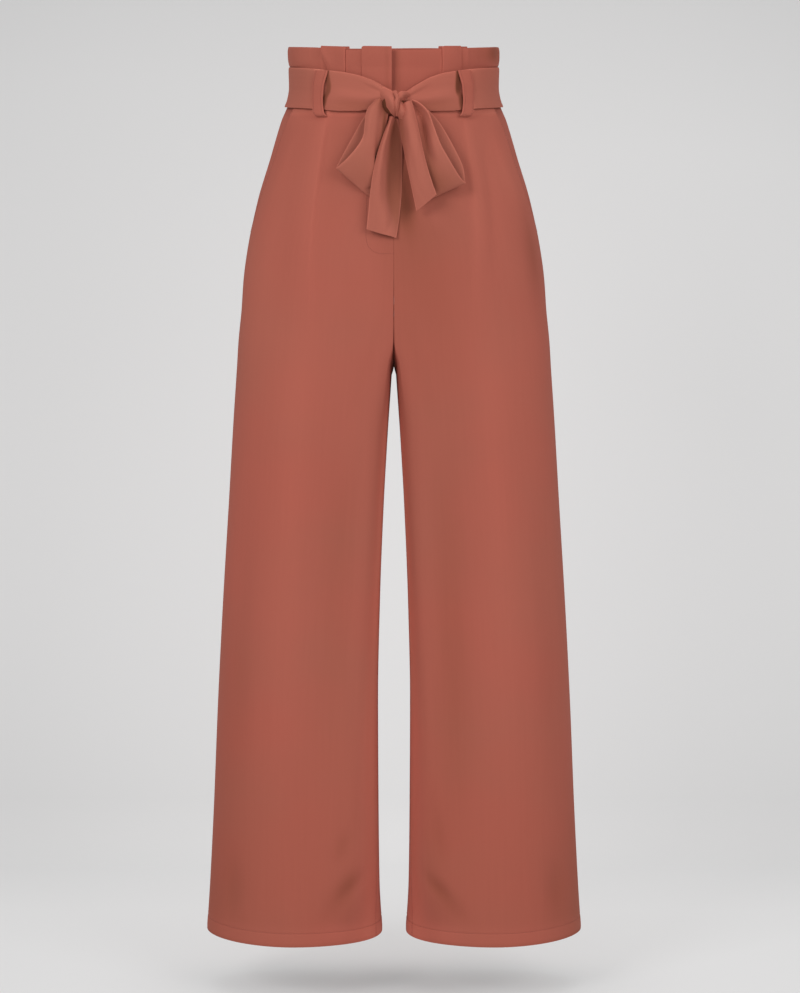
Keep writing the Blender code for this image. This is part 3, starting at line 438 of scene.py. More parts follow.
def smooth_step(value, start, end):
    """0 before start, 1 after end, 3t^2 - 2t^3 between."""
    t = np.clip((np.asarray(value, float) - start) / (end - start), 0.0, 1.0)
    return t * t * (3.0 - 2.0 * t)


def bell(distance, width):
    """exp(-(distance / width)^2)."""
    return np.exp(-(distance / width) ** 2)


def through(points, at):
    """Monotone cubic through the rows (position, value) of a table, read at the positions `at`."""
    xs, ys = points[:, 0], points[:, 1]
    step = np.diff(xs)
    slope = np.diff(ys) / step
    tangent = np.empty(len(xs))
    tangent[0], tangent[-1] = slope[0], slope[-1]
    same_way = slope[:-1] * slope[1:] > 0.0
    total = np.where(same_way, slope[:-1] + slope[1:], 1.0)
    tangent[1:-1] = np.where(same_way, 2.0 * slope[:-1] * slope[1:] / total, 0.0)
    x = np.clip(at, xs[0], xs[-1])
    i = np.clip(np.searchsorted(xs, x) - 1, 0, len(xs) - 2)
    h = step[i]
    t = (x - xs[i]) / h
    return ((2 * t**3 - 3 * t**2 + 1) * ys[i] + (t**3 - 2 * t**2 + t) * h * tangent[i]
            + (3 * t**2 - 2 * t**3) * ys[i + 1] + (t**3 - t**2) * h * tangent[i + 1])


def spread(count, places):
    """`count` shares from 0 to 1, closer together at each place (share, width, extra density)."""
    share = np.linspace(0.0, 1.0, 4001)
    density = np.ones_like(share)
    for place, width, extra in places:
        density += extra * bell(share - place, width)
    total = np.concatenate([[0.0], np.cumsum(0.5 * (density[1:] + density[:-1]))])
    return np.interp(np.linspace(0.0, total[-1], count), total, share)


def section(name, z):
    """One column of SECTIONS at the heights z."""
    return through(SECTIONS[:, (0, SECTION_COLUMNS.index(name))], z)


def squircle(angle, exponent):
    """Cosine and sine of the angle, stretched from the unit circle out to the unit superellipse."""
    across, along = np.cos(angle), np.sin(angle)
    stretch = (np.abs(across) ** exponent + np.abs(along) ** exponent) ** (-1.0 / exponent)
    return across * stretch, along * stretch


def side_edge(z, face):
    """u of a panel's edge at the side: the pocket mouth on the front, down to its foot, and otherwise 0."""
    return np.where((face == "front") & (z >= POCKET_FOOT), through(POCKET_MOUTH, z), 0.0)


def seam_edge(z, face):
    """u of a panel's centre edge: CORNER down to the fork, then along a quarter ellipse to 1."""
    fork = FORK if face == "front" else BACK_FORK
    fall = np.clip((fork - z) / (fork - CROTCH), 0.0, 1.0)
    return 1.0 - np.arctan(np.sqrt(1.0 - fall**2) * np.tan(np.pi * (1.0 - CORNER))) / np.pi


def leg_inner_power(z):
    """Exponent of a leg's inner half: boxy at the thigh, nearly round at the hem."""
    share = 0.6 * smooth_step(-z, -CROTCH, -HEM) + 0.4 * smooth_step(-z, 900.0, -HEM)
    return LEG_INNER_POWER + (LEG_INNER_POWER_HEM - LEG_INNER_POWER) * share


def inseam_line(z):
    """u of the stitches beside the inner seam, 4.6 mm from a leg's edge at the knee and 8 mm at the hem."""
    inset = 4.6 + 3.4 * smooth_step(-z, 820.0, -HEM)
    across = 1.0 - 2.0 * inset / (section("side", z) - section("inner", z))
    return 1.0 - np.arccos(across ** (0.5 * leg_inner_power(z))) / np.pi


def hung(u, z):
    """z of the cloth as it hangs: the hem is 2.5 mm lower at the inner seam."""
    return z - 2.5 * smooth_step(u, 0.60, 0.98) * smooth_step(-z, 950.0, -HEM)


def body_surface(u, z, face):
    """Point of the wearer's left half, front or back, without folds.

    The body section is a quarter superellipse up to the centre, with a plane wall x = 0 after it. The
    leg section is half a superellipse round the middle of the leg. A smooth step in z turns the first
    into the second. Next to the crotch seam x is drawn in to 0, so that right and left meet there.
    """
    u, z = np.broadcast_arrays(np.asarray(u, float), np.asarray(z, float))
    side = section("side", z)
    depth = section(face, z)
    inner = section("inner", z)
    outer_power = LEG_OUTER_POWER + (LEG_OUTER_POWER_HEM - LEG_OUTER_POWER) * smooth_step(-z, 780.0, -HEM)
    leg_across, leg_along = squircle(np.pi * u, np.where(u < 0.5, outer_power, leg_inner_power(z)))
    leg_x = 0.5 * (side + inner) + 0.5 * (side - inner) * leg_across
    leg_y = depth * leg_along
    body_across, body_along = squircle(0.5 * np.pi * np.minimum(u, CORNER) / CORNER, BODY_POWER)
    to_middle = np.tan(np.pi * (1.0 - u)) / np.tan(np.pi * (1.0 - CORNER))
    body_y = depth * np.where(u > CORNER, to_middle, body_along)
    blend = smooth_step(-z, -LEG_BLEND_TOP, -LEG_BLEND_END)
    x = (1.0 - blend) * side * body_across + blend * leg_x
    y = (1.0 - blend) * body_y + blend * leg_y
    close = bell(seam_edge(z, face) - u, SEAM_CLOSE) * smooth_step(z, CROTCH - 12.0, CROTCH)
    x = x * (1.0 - close)
    return np.stack([x, -y if face == "front" else y, z], axis=-1)


def body_normal(u, z, face):
    """Outward normal of body_surface, from the differences of near points."""
    du, dz = 0.004, 1.0
    after = np.minimum(u + du, np.maximum(seam_edge(z, face), u))
    along_u = body_surface(after, z, face) - body_surface(u - du, z, face)
    up = np.minimum(z + dz, SECTIONS[-1, 0])
    down = np.maximum(z - dz, HEM)
    along_z = body_surface(u, up, face) - body_surface(u, down, face)
    normal = np.cross(along_z, along_u) if face == "front" else np.cross(along_u, along_z)
    return normal / np.linalg.norm(normal, axis=-1, keepdims=True)


def fold_relief(u, z, rows):
    """Sum of folds: each a two-sided bell across a straight line in (u, z), faded at top and foot."""
    total = np.zeros(np.broadcast(u, z).shape)
    for top_u, foot_u, top, foot, rise, side_width, centre_width in rows:
        line = top_u + (foot_u - top_u) * np.clip((top - z) / (top - foot), 0.0, 1.0)
        width = np.where(u < line, side_width, centre_width)
        reach = 0.3 * (top - foot)
        total += rise * bell(u - line, width) * smooth_step(-z, -top, reach - top) \
            * smooth_step(z, foot, foot + 2.0 * reach)
    return total


def soft_spots(first, second, rows):
    """Sum of bells round places in two shares or lengths: both middles, both half widths, amount."""
    return sum(amount * bell(first - first_middle, first_width) * bell(second - second_middle, second_width)
               for first_middle, second_middle, first_width, second_width, amount in rows)


def ovals(u, z, rows):
    """Sum of oblong bells, each turned by its lean, in millimetres on the cloth, times its last value."""
    total = np.zeros(np.broadcast(u, z).shape)
    for middle, height, half_length, half_width, lean, amount in rows:
        across, up = (u - middle) * QUARTER_ARC, z - height
        turn = np.radians(lean)
        along = up * np.cos(turn) + across * np.sin(turn)
        beside = across * np.cos(turn) - up * np.sin(turn)
        total += amount * np.exp(-(along / half_length) ** 2 - (beside / half_width) ** 2)
    return total


def hem_relief(z):
    """The hem's double cloth stands 0.25 mm out below its stitch line, which is drawn in 0.3 mm."""
    line = HEM + settings().hem_depth / MM
    return 0.25 * smooth_step(-z, -line - 1.0, -line + 1.5) - 0.30 * bell(z - line, 1.1)


def seam_relief(u, z, face, start):
    """Cloth rolls in by 0.7 mm over the last 2 mm before the side seam, pocket mouth and inner seams.

    Along the crotch seam it doesn't, so that right and left stay closed there.
    """
    outer_roll = 0.7 * bell((u - start) * QUARTER_ARC, 1.6)
    closed = smooth_step(-z, -FORK - 10.0, -FORK) * smooth_step(z, CROTCH - 40.0, CROTCH - 10.0)
    return -outer_roll - 0.7 * bell((seam_edge(z, face) - u) * QUARTER_ARC, 1.6) * (1.0 - closed)


def panel_relief(u, z, side, face, start):
    """All folds, dents and seams of one panel."""
    if face == "front":
        rows = FRONT_FOLDS + (RIGHT_FOLDS if side == "right" else LEFT_FOLDS)
        dents = RIGHT_DENTS if side == "right" else LEFT_DENTS
    else:
        rows, dents = BACK_FOLDS, BACK_DENTS
    return fold_relief(u, z, rows) - ovals(u, z, dents) + hem_relief(z) + seam_relief(u, z, face, start)


def panel_painted_shading(u, z, side, face, relief):
    """Share by which a panel is painted lighter or darker than its cloth colour: painted light and shade.

    It grows with the relief, and has the steps, bands, stripes and ovals of its tables, the painted light on
    the inner side of the leg and a darker line along the inseam's stitches.
    """
    tone = RELIEF_PAINTED_SHADE * np.clip(relief, -3.0, 3.0)
    for start, full, share in PAINTED_SHADING_STEPS:
        tone += share * smooth_step(-z, start, full)
    for height, half_width, share in PAINTED_SHADING_BANDS:
        tone += share * bell(z - height, half_width)
    for middle, half_width, start, full, end, gone, share in PAINTED_SHADING_STRIPES:
        reach = smooth_step(-z, start, full) - smooth_step(-z, end, gone)
        tone += share * bell(u - middle, half_width) * reach
    start, full, share = (through(INNER_PAINTED_LIGHT[:, (0, k)], z) for k in (1, 2, 3))
    tone += share * smooth_step(u - (INNER_LAG if side == "left" else 0.0), start, full)
    tone -= INSEAM_SHADE * bell((u - inseam_line(z)) * QUARTER_ARC, 1.0) * smooth_step(-z, 600.0, 700.0)
    if face == "front":
        tone += ovals(u, z, RIGHT_PAINTED_SHADING if side == "right" else LEFT_PAINTED_SHADING)
    return tone


def waist_point(turn, z, out):
    """Point of the waist at an angle from the centre front, `out` from the body surface.

    A superellipse whose depth is the front's on one side of the side seams and the back's on the
    other; turn is positive towards the wearer's left.
    """
    def ring(angle, height):
        along, across = squircle(angle, BODY_POWER)
        depth = np.where(along > 0.0, section("front", height), section("back", height))
        x = section("side", height) * across
        return np.stack([x, -depth * along, height + 0.0 * x], axis=-1)
    turn, z, out = np.broadcast_arrays(*(np.asarray(v, float) for v in (turn, z, out)))
    tangent = ring(turn + 0.01, z) - ring(turn - 0.01, z)
    normal = np.stack([tangent[..., 1], -tangent[..., 0], np.zeros_like(z)], axis=-1)
    normal /= np.linalg.norm(normal, axis=-1, keepdims=True)
    return ring(turn, z) + normal * out[..., None]


def turn_at(x):
    """Angle from the centre front at which the waist is x from the middle plane."""
    share = x / section("side", 0.0)
    return np.arctan2(share, (1.0 - share**BODY_POWER) ** (1.0 / BODY_POWER))


# ---------------------------------------------------------------- meshes

def add_mesh(name, points, faces, uv=None, tone=None):
    """Mesh object from points in millimetres; uv is in metres of cloth and tone is a point attribute of
    painted light and shade.
    """
    mesh = bpy.data.meshes.new(name)
    faces = np.asarray(faces, np.int32)
    corners = faces.shape[1]
    mesh.vertices.add(len(points))
    mesh.vertices.foreach_set("co", (points * MM).astype(np.float32).ravel())
    mesh.loops.add(faces.size)
    mesh.loops.foreach_set("vertex_index", faces.ravel())
    mesh.polygons.add(len(faces))
    mesh.polygons.foreach_set("loop_start", np.arange(0, faces.size, corners, dtype=np.int32))
    mesh.update(calc_edges=True)
    mesh.validate()
    if uv is not None:
        layer = mesh.uv_layers.new(name="cloth")
        index = np.empty(len(mesh.loops), np.int32)
        mesh.loops.foreach_get("vertex_index", index)
        layer.uv.foreach_set("vector", uv[index].astype(np.float32).ravel())
    if tone is not None:
        mesh.attributes.new("tone", "FLOAT", "POINT").data.foreach_set("value", tone.astype(np.float32))
    mesh.shade_smooth()
    mesh.set_sharp_from_angle(angle=0.9)
    item = bpy.data.objects.new(name, mesh)
    bpy.context.scene.collection.objects.link(item)
    return item


def cloth_uv(grid):
    """Lengths over the cloth in metres: along the rows from the middle column, and along the columns."""
    over = np.concatenate([np.zeros_like(grid[:, :1, 0]),
                           np.cumsum(np.linalg.norm(np.diff(grid, axis=1), axis=-1), axis=1)], axis=1)
    middle = grid.shape[1] // 2
    down = np.concatenate([[0.0], np.cumsum(np.linalg.norm(np.diff(grid[:, middle], axis=0), axis=-1))])
    over = over - over[:, middle:middle + 1]
    return np.stack([over, down[:, None] + 0.0 * over], axis=-1) * MM


def wall_parts(outer, inner, tone=0.0, last=None):
    """Points, faces, uv and tone of a closed wall between two grids of points of the same shape.

    `last` gives the last column that each row has; its row ends there. The faces point out of the wall,
    whichever way the grids run.
    """
    rows, columns = outer.shape[:2]
    last = np.full(rows, columns - 1) if last is None else last
    kept = np.arange(columns)[None, :] <= last[:, None]
    number = np.cumsum(kept).reshape(rows, columns) - 1
    count = int(kept.sum())
    first, second = number[:-1, :-1].ravel(), number[:-1, 1:].ravel()
    third, fourth = number[1:, 1:].ravel(), number[1:, :-1].ravel()
    skin = np.concatenate([np.stack([first, second, third], 1), np.stack([first, third, fourth], 1)])
    skin = skin[(skin[:, 0] != skin[:, 1]) & (skin[:, 1] != skin[:, 2]) & (skin[:, 2] != skin[:, 0])]
    border = np.concatenate([number[0, :-1], number[:-1, -1], number[-1, :0:-1], number[:0:-1, 0]])
    border = border[border != np.roll(border, -1)]
    after = np.roll(border, -1)
    edge = [np.stack([after, border, border + count], 1), np.stack([after, border + count, after + count], 1)]
    faces = np.concatenate([skin, skin[:, ::-1] + count, *edge])
    points = np.concatenate([outer[kept], inner[kept]])
    corners = points[faces]
    if np.einsum("ij,ij->i", corners[:, 0], np.cross(corners[:, 1], corners[:, 2])).sum() < 0.0:
        faces = faces[:, ::-1]
    uv = cloth_uv(outer)[kept]
    tone = (tone + 0.0 * outer[..., 0])[kept]
    return points, faces, np.concatenate([uv, uv]), np.concatenate([tone, tone])


def cloth_piece(name, walls, material):
    """The cloth of one node, made of one or more walls from wall_parts.
    """
    before = np.cumsum([0] + [len(points) for points, *rest in walls[:-1]])
    points, faces, uv, tone = zip(*walls)
    faces = [these + int(start) for these, start in zip(faces, before)]
    item = add_mesh("cloth_" + name, *(np.concatenate(part) for part in (points, faces, uv, tone)))
    item.data.materials.append(material)
    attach(item, "root")
    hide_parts(name)


def to_side(points, side, face):
    """Turn points of the wearer's left half into a piece of one side, sewn up close to its seams."""
    points = points.copy()
    half = 0.5 * STITCHED_GAP
    points[..., 0] = np.maximum(points[..., 0], 0.0) + half
    if face == "front":
        points[..., 1] = np.minimum(points[..., 1], 0.0) - half
    else:
        points[..., 1] = np.maximum(points[..., 1], 0.0) + half
    if side == "right":
        points[..., 0] *= -1.0
    return points


def on_body(u, z, side, face, relief, drawn_in=0.0):
    """Points `relief` out from the body surface, as they hang on one side, and their normals.

    drawn_in moves the points that hang there in again along their normals.
    """
    normal = body_normal(u, z, face)
    points = body_surface(u, z, face) + normal * relief[..., None]
    points[..., 2] = hung(u, z)
    points -= normal * np.asarray(drawn_in)[..., None]
    return to_side(points, side, face), normal * (-1.0 if side == "right" else 1.0, 1.0, 1.0)


def panel_grid(face):
    """u and z of a panel's grid points, the last column of each row and the u of its side edge.

    Rows lie closer near the hem's stitch line; below the fork each row ends on the inner seam.
    """
    fork = FORK if face == "front" else BACK_FORK
    inner = CORNER + (1.0 - CORNER) * spread(34, ((0.18, 0.05, 6.0),))
    hip = np.linspace(WAIST_SEAM - SEAM_GAP, fork, 66)
    arch = fork + (CROTCH - fork) * np.sqrt(np.maximum(0.0, 1.0 - np.tan(np.pi * (1.0 - inner[1:])) ** 2))
    stitch_line = 1.0 - settings().hem_depth / MM / (CROTCH - HEM)
    share = spread(150, ((stitch_line, 0.005, 9.0),))
    leg = CROTCH + (HEM - CROTCH) * share[1:]
    z = np.concatenate([hip, arch, leg])[:, None]
    start = side_edge(z, face)
    outside = spread(92, ((0.0, 0.012, 5.0), (1.0, 0.05, 1.6), (1.0, 0.008, 3.0), (0.62, 0.06, 0.8)))
    u = np.concatenate([start + outside * (CORNER - start), inner[1:] + 0.0 * z], axis=1)
    last = np.sum(u < seam_edge(z, face) - 1e-6, axis=1)
    return u, z + 0.0 * u, last, start


def build_panel(side, face, material):
    """One of the four trouser panels: the body surface moved out by its relief, with its wall inside.

    The wall is twice as thick in the hem, and its outer face is rounded off at the hem's edge.
    """
    u, z, last, start = panel_grid(face)
    relief = panel_relief(u, z, side, face, start)
    hem_line = -HEM - settings().hem_depth / MM
    in_hem = smooth_step(-z, hem_line - 1.0, hem_line)
    outer = on_body(u, z, side, face, relief, 0.35 * bell(z - HEM, 0.8))[0]
    inner = on_body(u, z, side, face, relief - WALL * (1.0 + in_hem))[0]
    tone = panel_painted_shading(u, z, side, face, relief)
    cloth_piece(f"{face}_panel_{side}", [wall_parts(outer, inner, tone, last)], material)


def build_pocket_facing(side, material):
    """The cloth seen behind a slant pocket mouth, from the side seam to under the front panel."""
    z = np.linspace(WAIST_SEAM - SEAM_GAP, POCKET_FOOT + 8.0, 50)[:, None]
    edge = through(POCKET_MOUTH, z)
    lap = edge + POCKET_LAP * np.linspace(0.0, 1.0, 10)[1:]
    u = np.concatenate([edge * np.linspace(0.0, 1.0, 18), lap], axis=1)
    z = z + 0.0 * u
    sink = FACING_DEPTH * smooth_step(u, 0.0, 0.7 * edge) + 0.6 * bell(u * QUARTER_ARC, 1.6)
    relief = fold_relief(u, z, FRONT_FOLDS + (RIGHT_FOLDS if side == "right" else LEFT_FOLDS)) - sink
    outer, inner = (on_body(u, z, side, "front", relief - depth)[0] for depth in (0.0, WALL))
    cloth_piece(f"pocket_facing_{side}", [wall_parts(outer, inner)], material)


# ---------------------------------------------------------------- waistband and its pleats

def pleat_course(pleats, last, start):
    """Course of a pleated edge in plan, as rows (u, layer, run of its fold), from `start` to `last`.

    Each fold is half a circle: out by HAIRPIN in u and on by one layer.
    """
    course = [(start, 0.0, 0.0)]
    half_circle = np.linspace(0.0, np.pi, 8)[1:]

    def go_to(u, run):
        here, layer, run_here = course[-1]
        count = max(2, int(round(abs(u - here) / 0.006)))
        for k in range(1, count + 1):
            course.append((here + (u - here) * k / count, layer, run_here + (run - run_here) * k / count))

    def turn_back(direction, climb):
        here, layer, run = course[-1]
        for angle in half_circle:
            out, on = HAIRPIN * np.sin(angle), 0.5 * (1.0 - np.cos(angle))
            course.append((here + direction * out, layer + climb * on, run))

    for kind, edge, run in pleats:
        climb = 1.0 if kind == "rise" else -1.0
        under = edge + TUCK if kind == "rise" else edge
        back = edge if kind == "rise" else edge - TUCK
        go_to(under - 0.03, 0.0)
        go_to(under, run)
        turn_back(1.0, climb)
        go_to(back, run)
        turn_back(-1.0, climb)
        go_to(back + 0.05, 0.0)
    go_to(last, 0.0)
    return np.array(course)


def frill_swell(u, z, ripples):
    """Sum of the frill's ridges and troughs: bells across lines that run from the top to the belt."""
    total = np.zeros(np.broadcast(u, z).shape)
    for top_u, belt_u, rise, width, lowest in ripples:
        line = belt_u + (top_u - belt_u) * np.clip((z - FRILL_FOOT) / FRILL_HEIGHT, 0.0, 1.0)
        full = max(lowest + 12.0, min(lowest + FRILL_HEIGHT, 44.0))
        total += rise * bell(u - line, width) * smooth_step(z, lowest, full)
    return total


def build_waistband(name, pleats, course, turn_of_u, top_edge, ripples, tones, material):
    """Waistband piece: the pleated course carried from the waist seam up to the frill's top edge.

    Layers close up at the waist seam, lie LAYER_PITCH apart in the belt and open to TOP_PITCH at the top. At
    the sides the frill stands SIDE_FLARE out over the belt. The cloth at each fold's edge has painted light,
    and the frill has painted shade in its troughs and painted light on its ridges.
    """
    u, layer, run = course.T
    top = through(top_edge, u) + LAYER_LIFT * layer
    share = spread(44, ((1.0, 0.03, 6.0), (0.66, 0.05, 1.0)))[:, None]
    foot = WAIST_SEAM - 0.8 * SEAM_GAP
    z = foot + share * (top - foot)
    pitch = LAYER_PITCH * (0.05 + 0.95 * smooth_step(z, foot, foot + 9.0))
    pitch += (TOP_PITCH - LAYER_PITCH) * smooth_step(z, FRILL_FOOT, FRILL_FOOT + FRILL_HEIGHT)
    swell = frill_swell(u, z, ripples)
    turn = turn_of_u(u + run * (1.0 - smooth_step(z, FRILL_FOOT, 45.0)))
    flare = SIDE_FLARE * smooth_step(z, 21.5, 26.0) * smooth_step(np.abs(np.sin(turn)), 0.80, 0.98)
    middle = waist_point(turn, z, layer * pitch - 0.5 * FRILL_WALL + swell + flare)
    step = np.diff(middle[..., :2], axis=1)
    step /= np.linalg.norm(step, axis=-1, keepdims=True)
    before = np.concatenate([step[:, :1], step], axis=1)
    after = np.concatenate([step, step[:, -1:]], axis=1)
    tangent = before + after
    tangent /= np.linalg.norm(tangent, axis=-1, keepdims=True)
    across = np.stack([tangent[..., 1], -tangent[..., 0], 0.0 * tangent[..., 0]], axis=-1)
    half = 0.5 * FRILL_WALL * (1.0 - 0.4 * bell(share - 1.0, 0.008))
    across = across * half[..., None]
    # Painted shade and light: the frill's troughs darker and its ridges paler, besides its table of painted
    # light and shade; then painted light at each fold's edge.
    tone = 0.02 * swell + ovals(u, z, tones)
    for kind, edge, _ in pleats:
        past, half_width, pale = PLEAT_PAINTED_LIGHT[kind]
        tone += pale * bell(u - edge - past, half_width)
    cloth_piece(name, [wall_parts(middle + across, middle - across, tone)], material)


# ---------------------------------------------------------------- sash, bow and belt loops

def build_belt(material):
    """The sash from one side of the knot round the back to the other, tapering into the knot.

    Across its width the wall is half a lens. Each arm carries a soft ridge a third of the way up, with
    the cloth below it turned in, and swells out to meet the knot. Beside each belt loop it dips, and from
    LOOP_SHADE to the loop's far edge it has a painted shadow, eased by painted light under the loop. Its
    relief and the lower part of each arm carry painted shade, and its edges a painted highlight.
    """
    front_half = turn_at(np.linspace(1.2, 100.0, 100))
    half = np.concatenate([front_half, np.linspace(turn_at(100.0), np.pi, 111)[1:]])
    turn = np.concatenate([half, 2.0 * np.pi - half[-2::-1]])[:, None]
    reach = np.abs(waist_point(turn[:, 0], 0.0, 0.0)[:, 0])
    at_front = np.cos(turn) > 0.0
    reach = np.where(at_front, reach[:, None], BELT_EDGE[-1, 0])
    left = turn < np.pi

    def by_side(table, at):
        return np.where(left, through(table[:, (0, 2)], at), through(table[:, (0, 1)], at))

    upper, lower = by_side(BELT_EDGE, reach), through(BELT_EDGE[:, (0, 3)], reach)
    share = 0.5 - 0.5 * np.cos(np.pi * np.linspace(0.0, 1.0, 33))
    z = lower + (upper - lower) * share
    clear = through(BELT_CLEAR, reach) + BELT_CLEAR_BACK * smooth_step(-np.cos(turn), 0.15, 0.5)
    on_arm = 1.0 - smooth_step(reach, 52.0, 80.0)
    ridge = 0.36 + 0.06 * smooth_step(reach, 15.0, 60.0)
    relief = on_arm * (1.2 * bell(share - ridge, 0.14) - 0.5 * bell(share - 0.14, 0.12))
    relief += ARM_SWELL * bell(reach - 4.0, 17.0) * np.sin(np.pi * share) ** 0.7
    crease_line = np.where(left, 0.62, 0.70) + 0.006 * (reach - 20.0)
    relief -= bell(share - crease_line, 0.07) * bell(reach - 20.0, 14.0)
    relief += soft_spots(share, reach, BELT_RISES)
    dip = bell(reach - 80.0, 5.0) * at_front * np.sin(np.pi * share) ** 0.5
    shift = soft_spots(share, reach, BELT_SHIFTS)
    shift += 0.7 * bell(share, 0.10) * smooth_step(reach, 100.0, 120.0) * at_front

    # Painted shadow from LOOP_SHADE to each front loop's far edge, less under the loop where painted light
    # lifts the deep shade; painted light and shade with the relief, painted shade on the lower part of each
    # arm and in the sash's spots, and a painted highlight on both edges.
    start = by_side(LOOP_SHADE, z)
    under_loop = smooth_step(reach, start + 4.0, start + 7.0)
    dark = np.where(left, 0.42 + 0.22 * smooth_step(z, -9.0, 0.0), 0.44) - 0.80 * under_loop
    dark = dark * at_front * smooth_step(reach, start - 1.2, start + 0.9)
    dark = dark * (1.0 - smooth_step(reach, 84.0, 90.0))
    tone = 0.008 * relief - dark + soft_spots(share, reach, BELT_PAINTED_SHADE)
    tone -= 0.11 * (1.0 - smooth_step(share, 0.20, 0.42)) * bell(reach - 52.0, 24.0)
    tone += BELT_EDGE_PAINTED_HIGHLIGHT * bell((upper - lower) * np.minimum(share, 1.0 - share), 0.9)

    edge = np.abs(2.0 * share - 1.0) ** 14
    clear = clear + shift
    outer = waist_point(turn, z, clear + BELT_WALL * (1.0 - 0.45 * edge) + relief - 0.8 * dip)
    inner = waist_point(turn, z, clear + 0.25 * BELT_WALL * edge + np.minimum(relief, 0.0) - 0.6 * dip)
    cloth_piece("belt_band", [wall_parts(outer, inner, tone)], material)


def loop_surface(x, face, across, course, out):
    """Point of a belt loop `out` from its inner face; across is 0 at its centre edge and 1 at the other."""
    middle = turn_at(abs(x))
    z, side_clear, centre_clear, side_drawn, centre_drawn = (course[:, k:k + 1] for k in range(5))
    half_angle = 0.5 * LOOP_WIDTH / section("side", 0.0)
    drawn_angle = (side_drawn + (centre_drawn - side_drawn) * (1.0 - across)) / section("side", 0.0)
    turn = middle + half_angle * (2.0 * across - 1.0) + drawn_angle
    if face == "back":
        turn = np.pi - turn
    clear = centre_clear + (side_clear - centre_clear) * across ** 0.8
    return waist_point(np.sign(x) * turn, z, clear + out)


def build_belt_loop(name, x, face, material):
    """A strip sewn down above and below the belt, its centre edge standing off the belt between."""
    across = 0.5 - 0.5 * np.cos(np.pi * np.linspace(0.0, 1.0, 27))[None, :]
    course = along_stations(LOOP_COURSE, 90)
    edge = np.abs(2.0 * across - 1.0) ** 8
    groove = 0.12 * (bell(across - 0.15, 0.03) + bell(across - 0.85, 0.03))
    inner = loop_surface(x, face, across, course, 0.25 * LOOP_WALL * edge)
    outer = loop_surface(x, face, across, course, LOOP_WALL * (1.0 - 0.4 * edge) - groove)
    # Painted highlight along both edges of the loop; the whole loop is 2 % paler.
    tone = 0.05 * bell(LOOP_WIDTH * np.minimum(across, 1.0 - across), 0.8) + 0.02
    cloth_piece(name, [wall_parts(outer, inner, tone)], material)


def along_stations(stations, count):
    """Catmull-Rom curve through the rows of a table, read at `count` even steps."""
    padded = np.vstack([2 * stations[0] - stations[1], stations, 2 * stations[-1] - stations[-2]])
    at = np.linspace(0.0, len(stations) - 1.0, count)
    i = np.minimum(at.astype(int), len(stations) - 2)
    t = (at - i)[:, None]
    p0, p1, p2, p3 = padded[i], padded[i + 1], padded[i + 2], padded[i + 3]
    return 0.5 * (2 * p1 + (p2 - p0) * t + (2 * p0 - 5 * p1 + 4 * p2 - p3) * t**2
                  + (3 * p1 - p0 - 3 * p2 + p3) * t**3)


def patch(stations, rows, columns):
    """Smooth grid of points through a table of stations, each a row of points across the strip."""
    points = stations.shape[1] // 3
    along = along_stations(stations, rows).reshape(rows, points, 3)
    turned = along.transpose(1, 0, 2).reshape(points, -1)
    return along_stations(turned, columns).reshape(columns, rows, 3).transpose(1, 0, 2)


def surface_normals(points):
    """Unit normals of a grid of points."""
    normal = np.cross(np.gradient(points, axis=0), np.gradient(points, axis=1))
    return normal / np.linalg.norm(normal, axis=-1, keepdims=True)


def strip_wall(stations, rows, columns, wall, wrinkle=0.12, tones=()):
    """Wall of a strip of sash through a table of stations, thinner at its two long edges.

    Fine wrinkles run along it: wrinkle * sin(2 pi (3 v + 0.8 sin(2 pi u))) with u along and v across. It has
    a painted highlight at its edges and painted shade, up to 22 % darker, with depth behind the front of its
    row, besides the painted light and shade of its tones.
    """
    middle = patch(stations, rows, columns)
    across = np.linspace(0.0, 1.0, columns)[None, :]
    run = np.linspace(0.0, 1.0, rows)[:, None]
    relief = wrinkle * np.sin(2.0 * np.pi * (3.0 * across + 0.8 * np.sin(2.0 * np.pi * run)))
    relief = relief * np.sin(np.pi * across)
    middle = middle + surface_normals(middle) * relief[..., None]
    width = np.linalg.norm(middle[:, -1] - middle[:, 0], axis=-1)[:, None]
    edge = np.abs(2.0 * across - 1.0) ** 12
    half = surface_normals(middle) * (0.5 * wall * (1.0 - 0.45 * edge))[..., None]
    depth = middle[..., 1] - middle[..., 1].min(axis=1, keepdims=True)
    tone = EDGE_PAINTED_HIGHLIGHT * bell(width * np.minimum(across, 1.0 - across), 0.9)
    tone = tone - 0.22 * smooth_step(depth, 3.0, 13.0)
    return wall_parts(middle + half, middle - half, tone + soft_spots(run, across, tones))


def build_knot(material):
    """The knot: a small core with one broad slanting wrap, a narrow one over it and two lobes beside it."""
    height = np.linspace(0.02, np.pi - 0.02, 48)[:, None]
    turn = np.linspace(0.0, 2.0 * np.pi, 64)
    direction = np.stack([np.sin(height) * np.cos(turn), np.sin(height) * np.sin(turn),
                          np.cos(height) + 0.0 * turn], axis=-1)
    core = KNOT_CENTRE + direction * KNOT_RADIUS * (0.78, 0.55, 0.80)
    hollow = KNOT_CENTRE + direction * KNOT_RADIUS * (0.66, 0.40, 0.68)
    # The core is painted 72 % darker: painted shade where it shows between the wraps.
    walls = [wall_parts(core, hollow, -0.72)]
    walls += [strip_wall(stations, 50, 25, KNOT_WALL, 0.05)
              for stations in (WRAP_MAIN, WRAP_NARROW, LOBE_UPPER, LOBE_LOWER)]
    cloth_piece("belt_knot", walls, material)


# ---------------------------------------------------------------- stitches

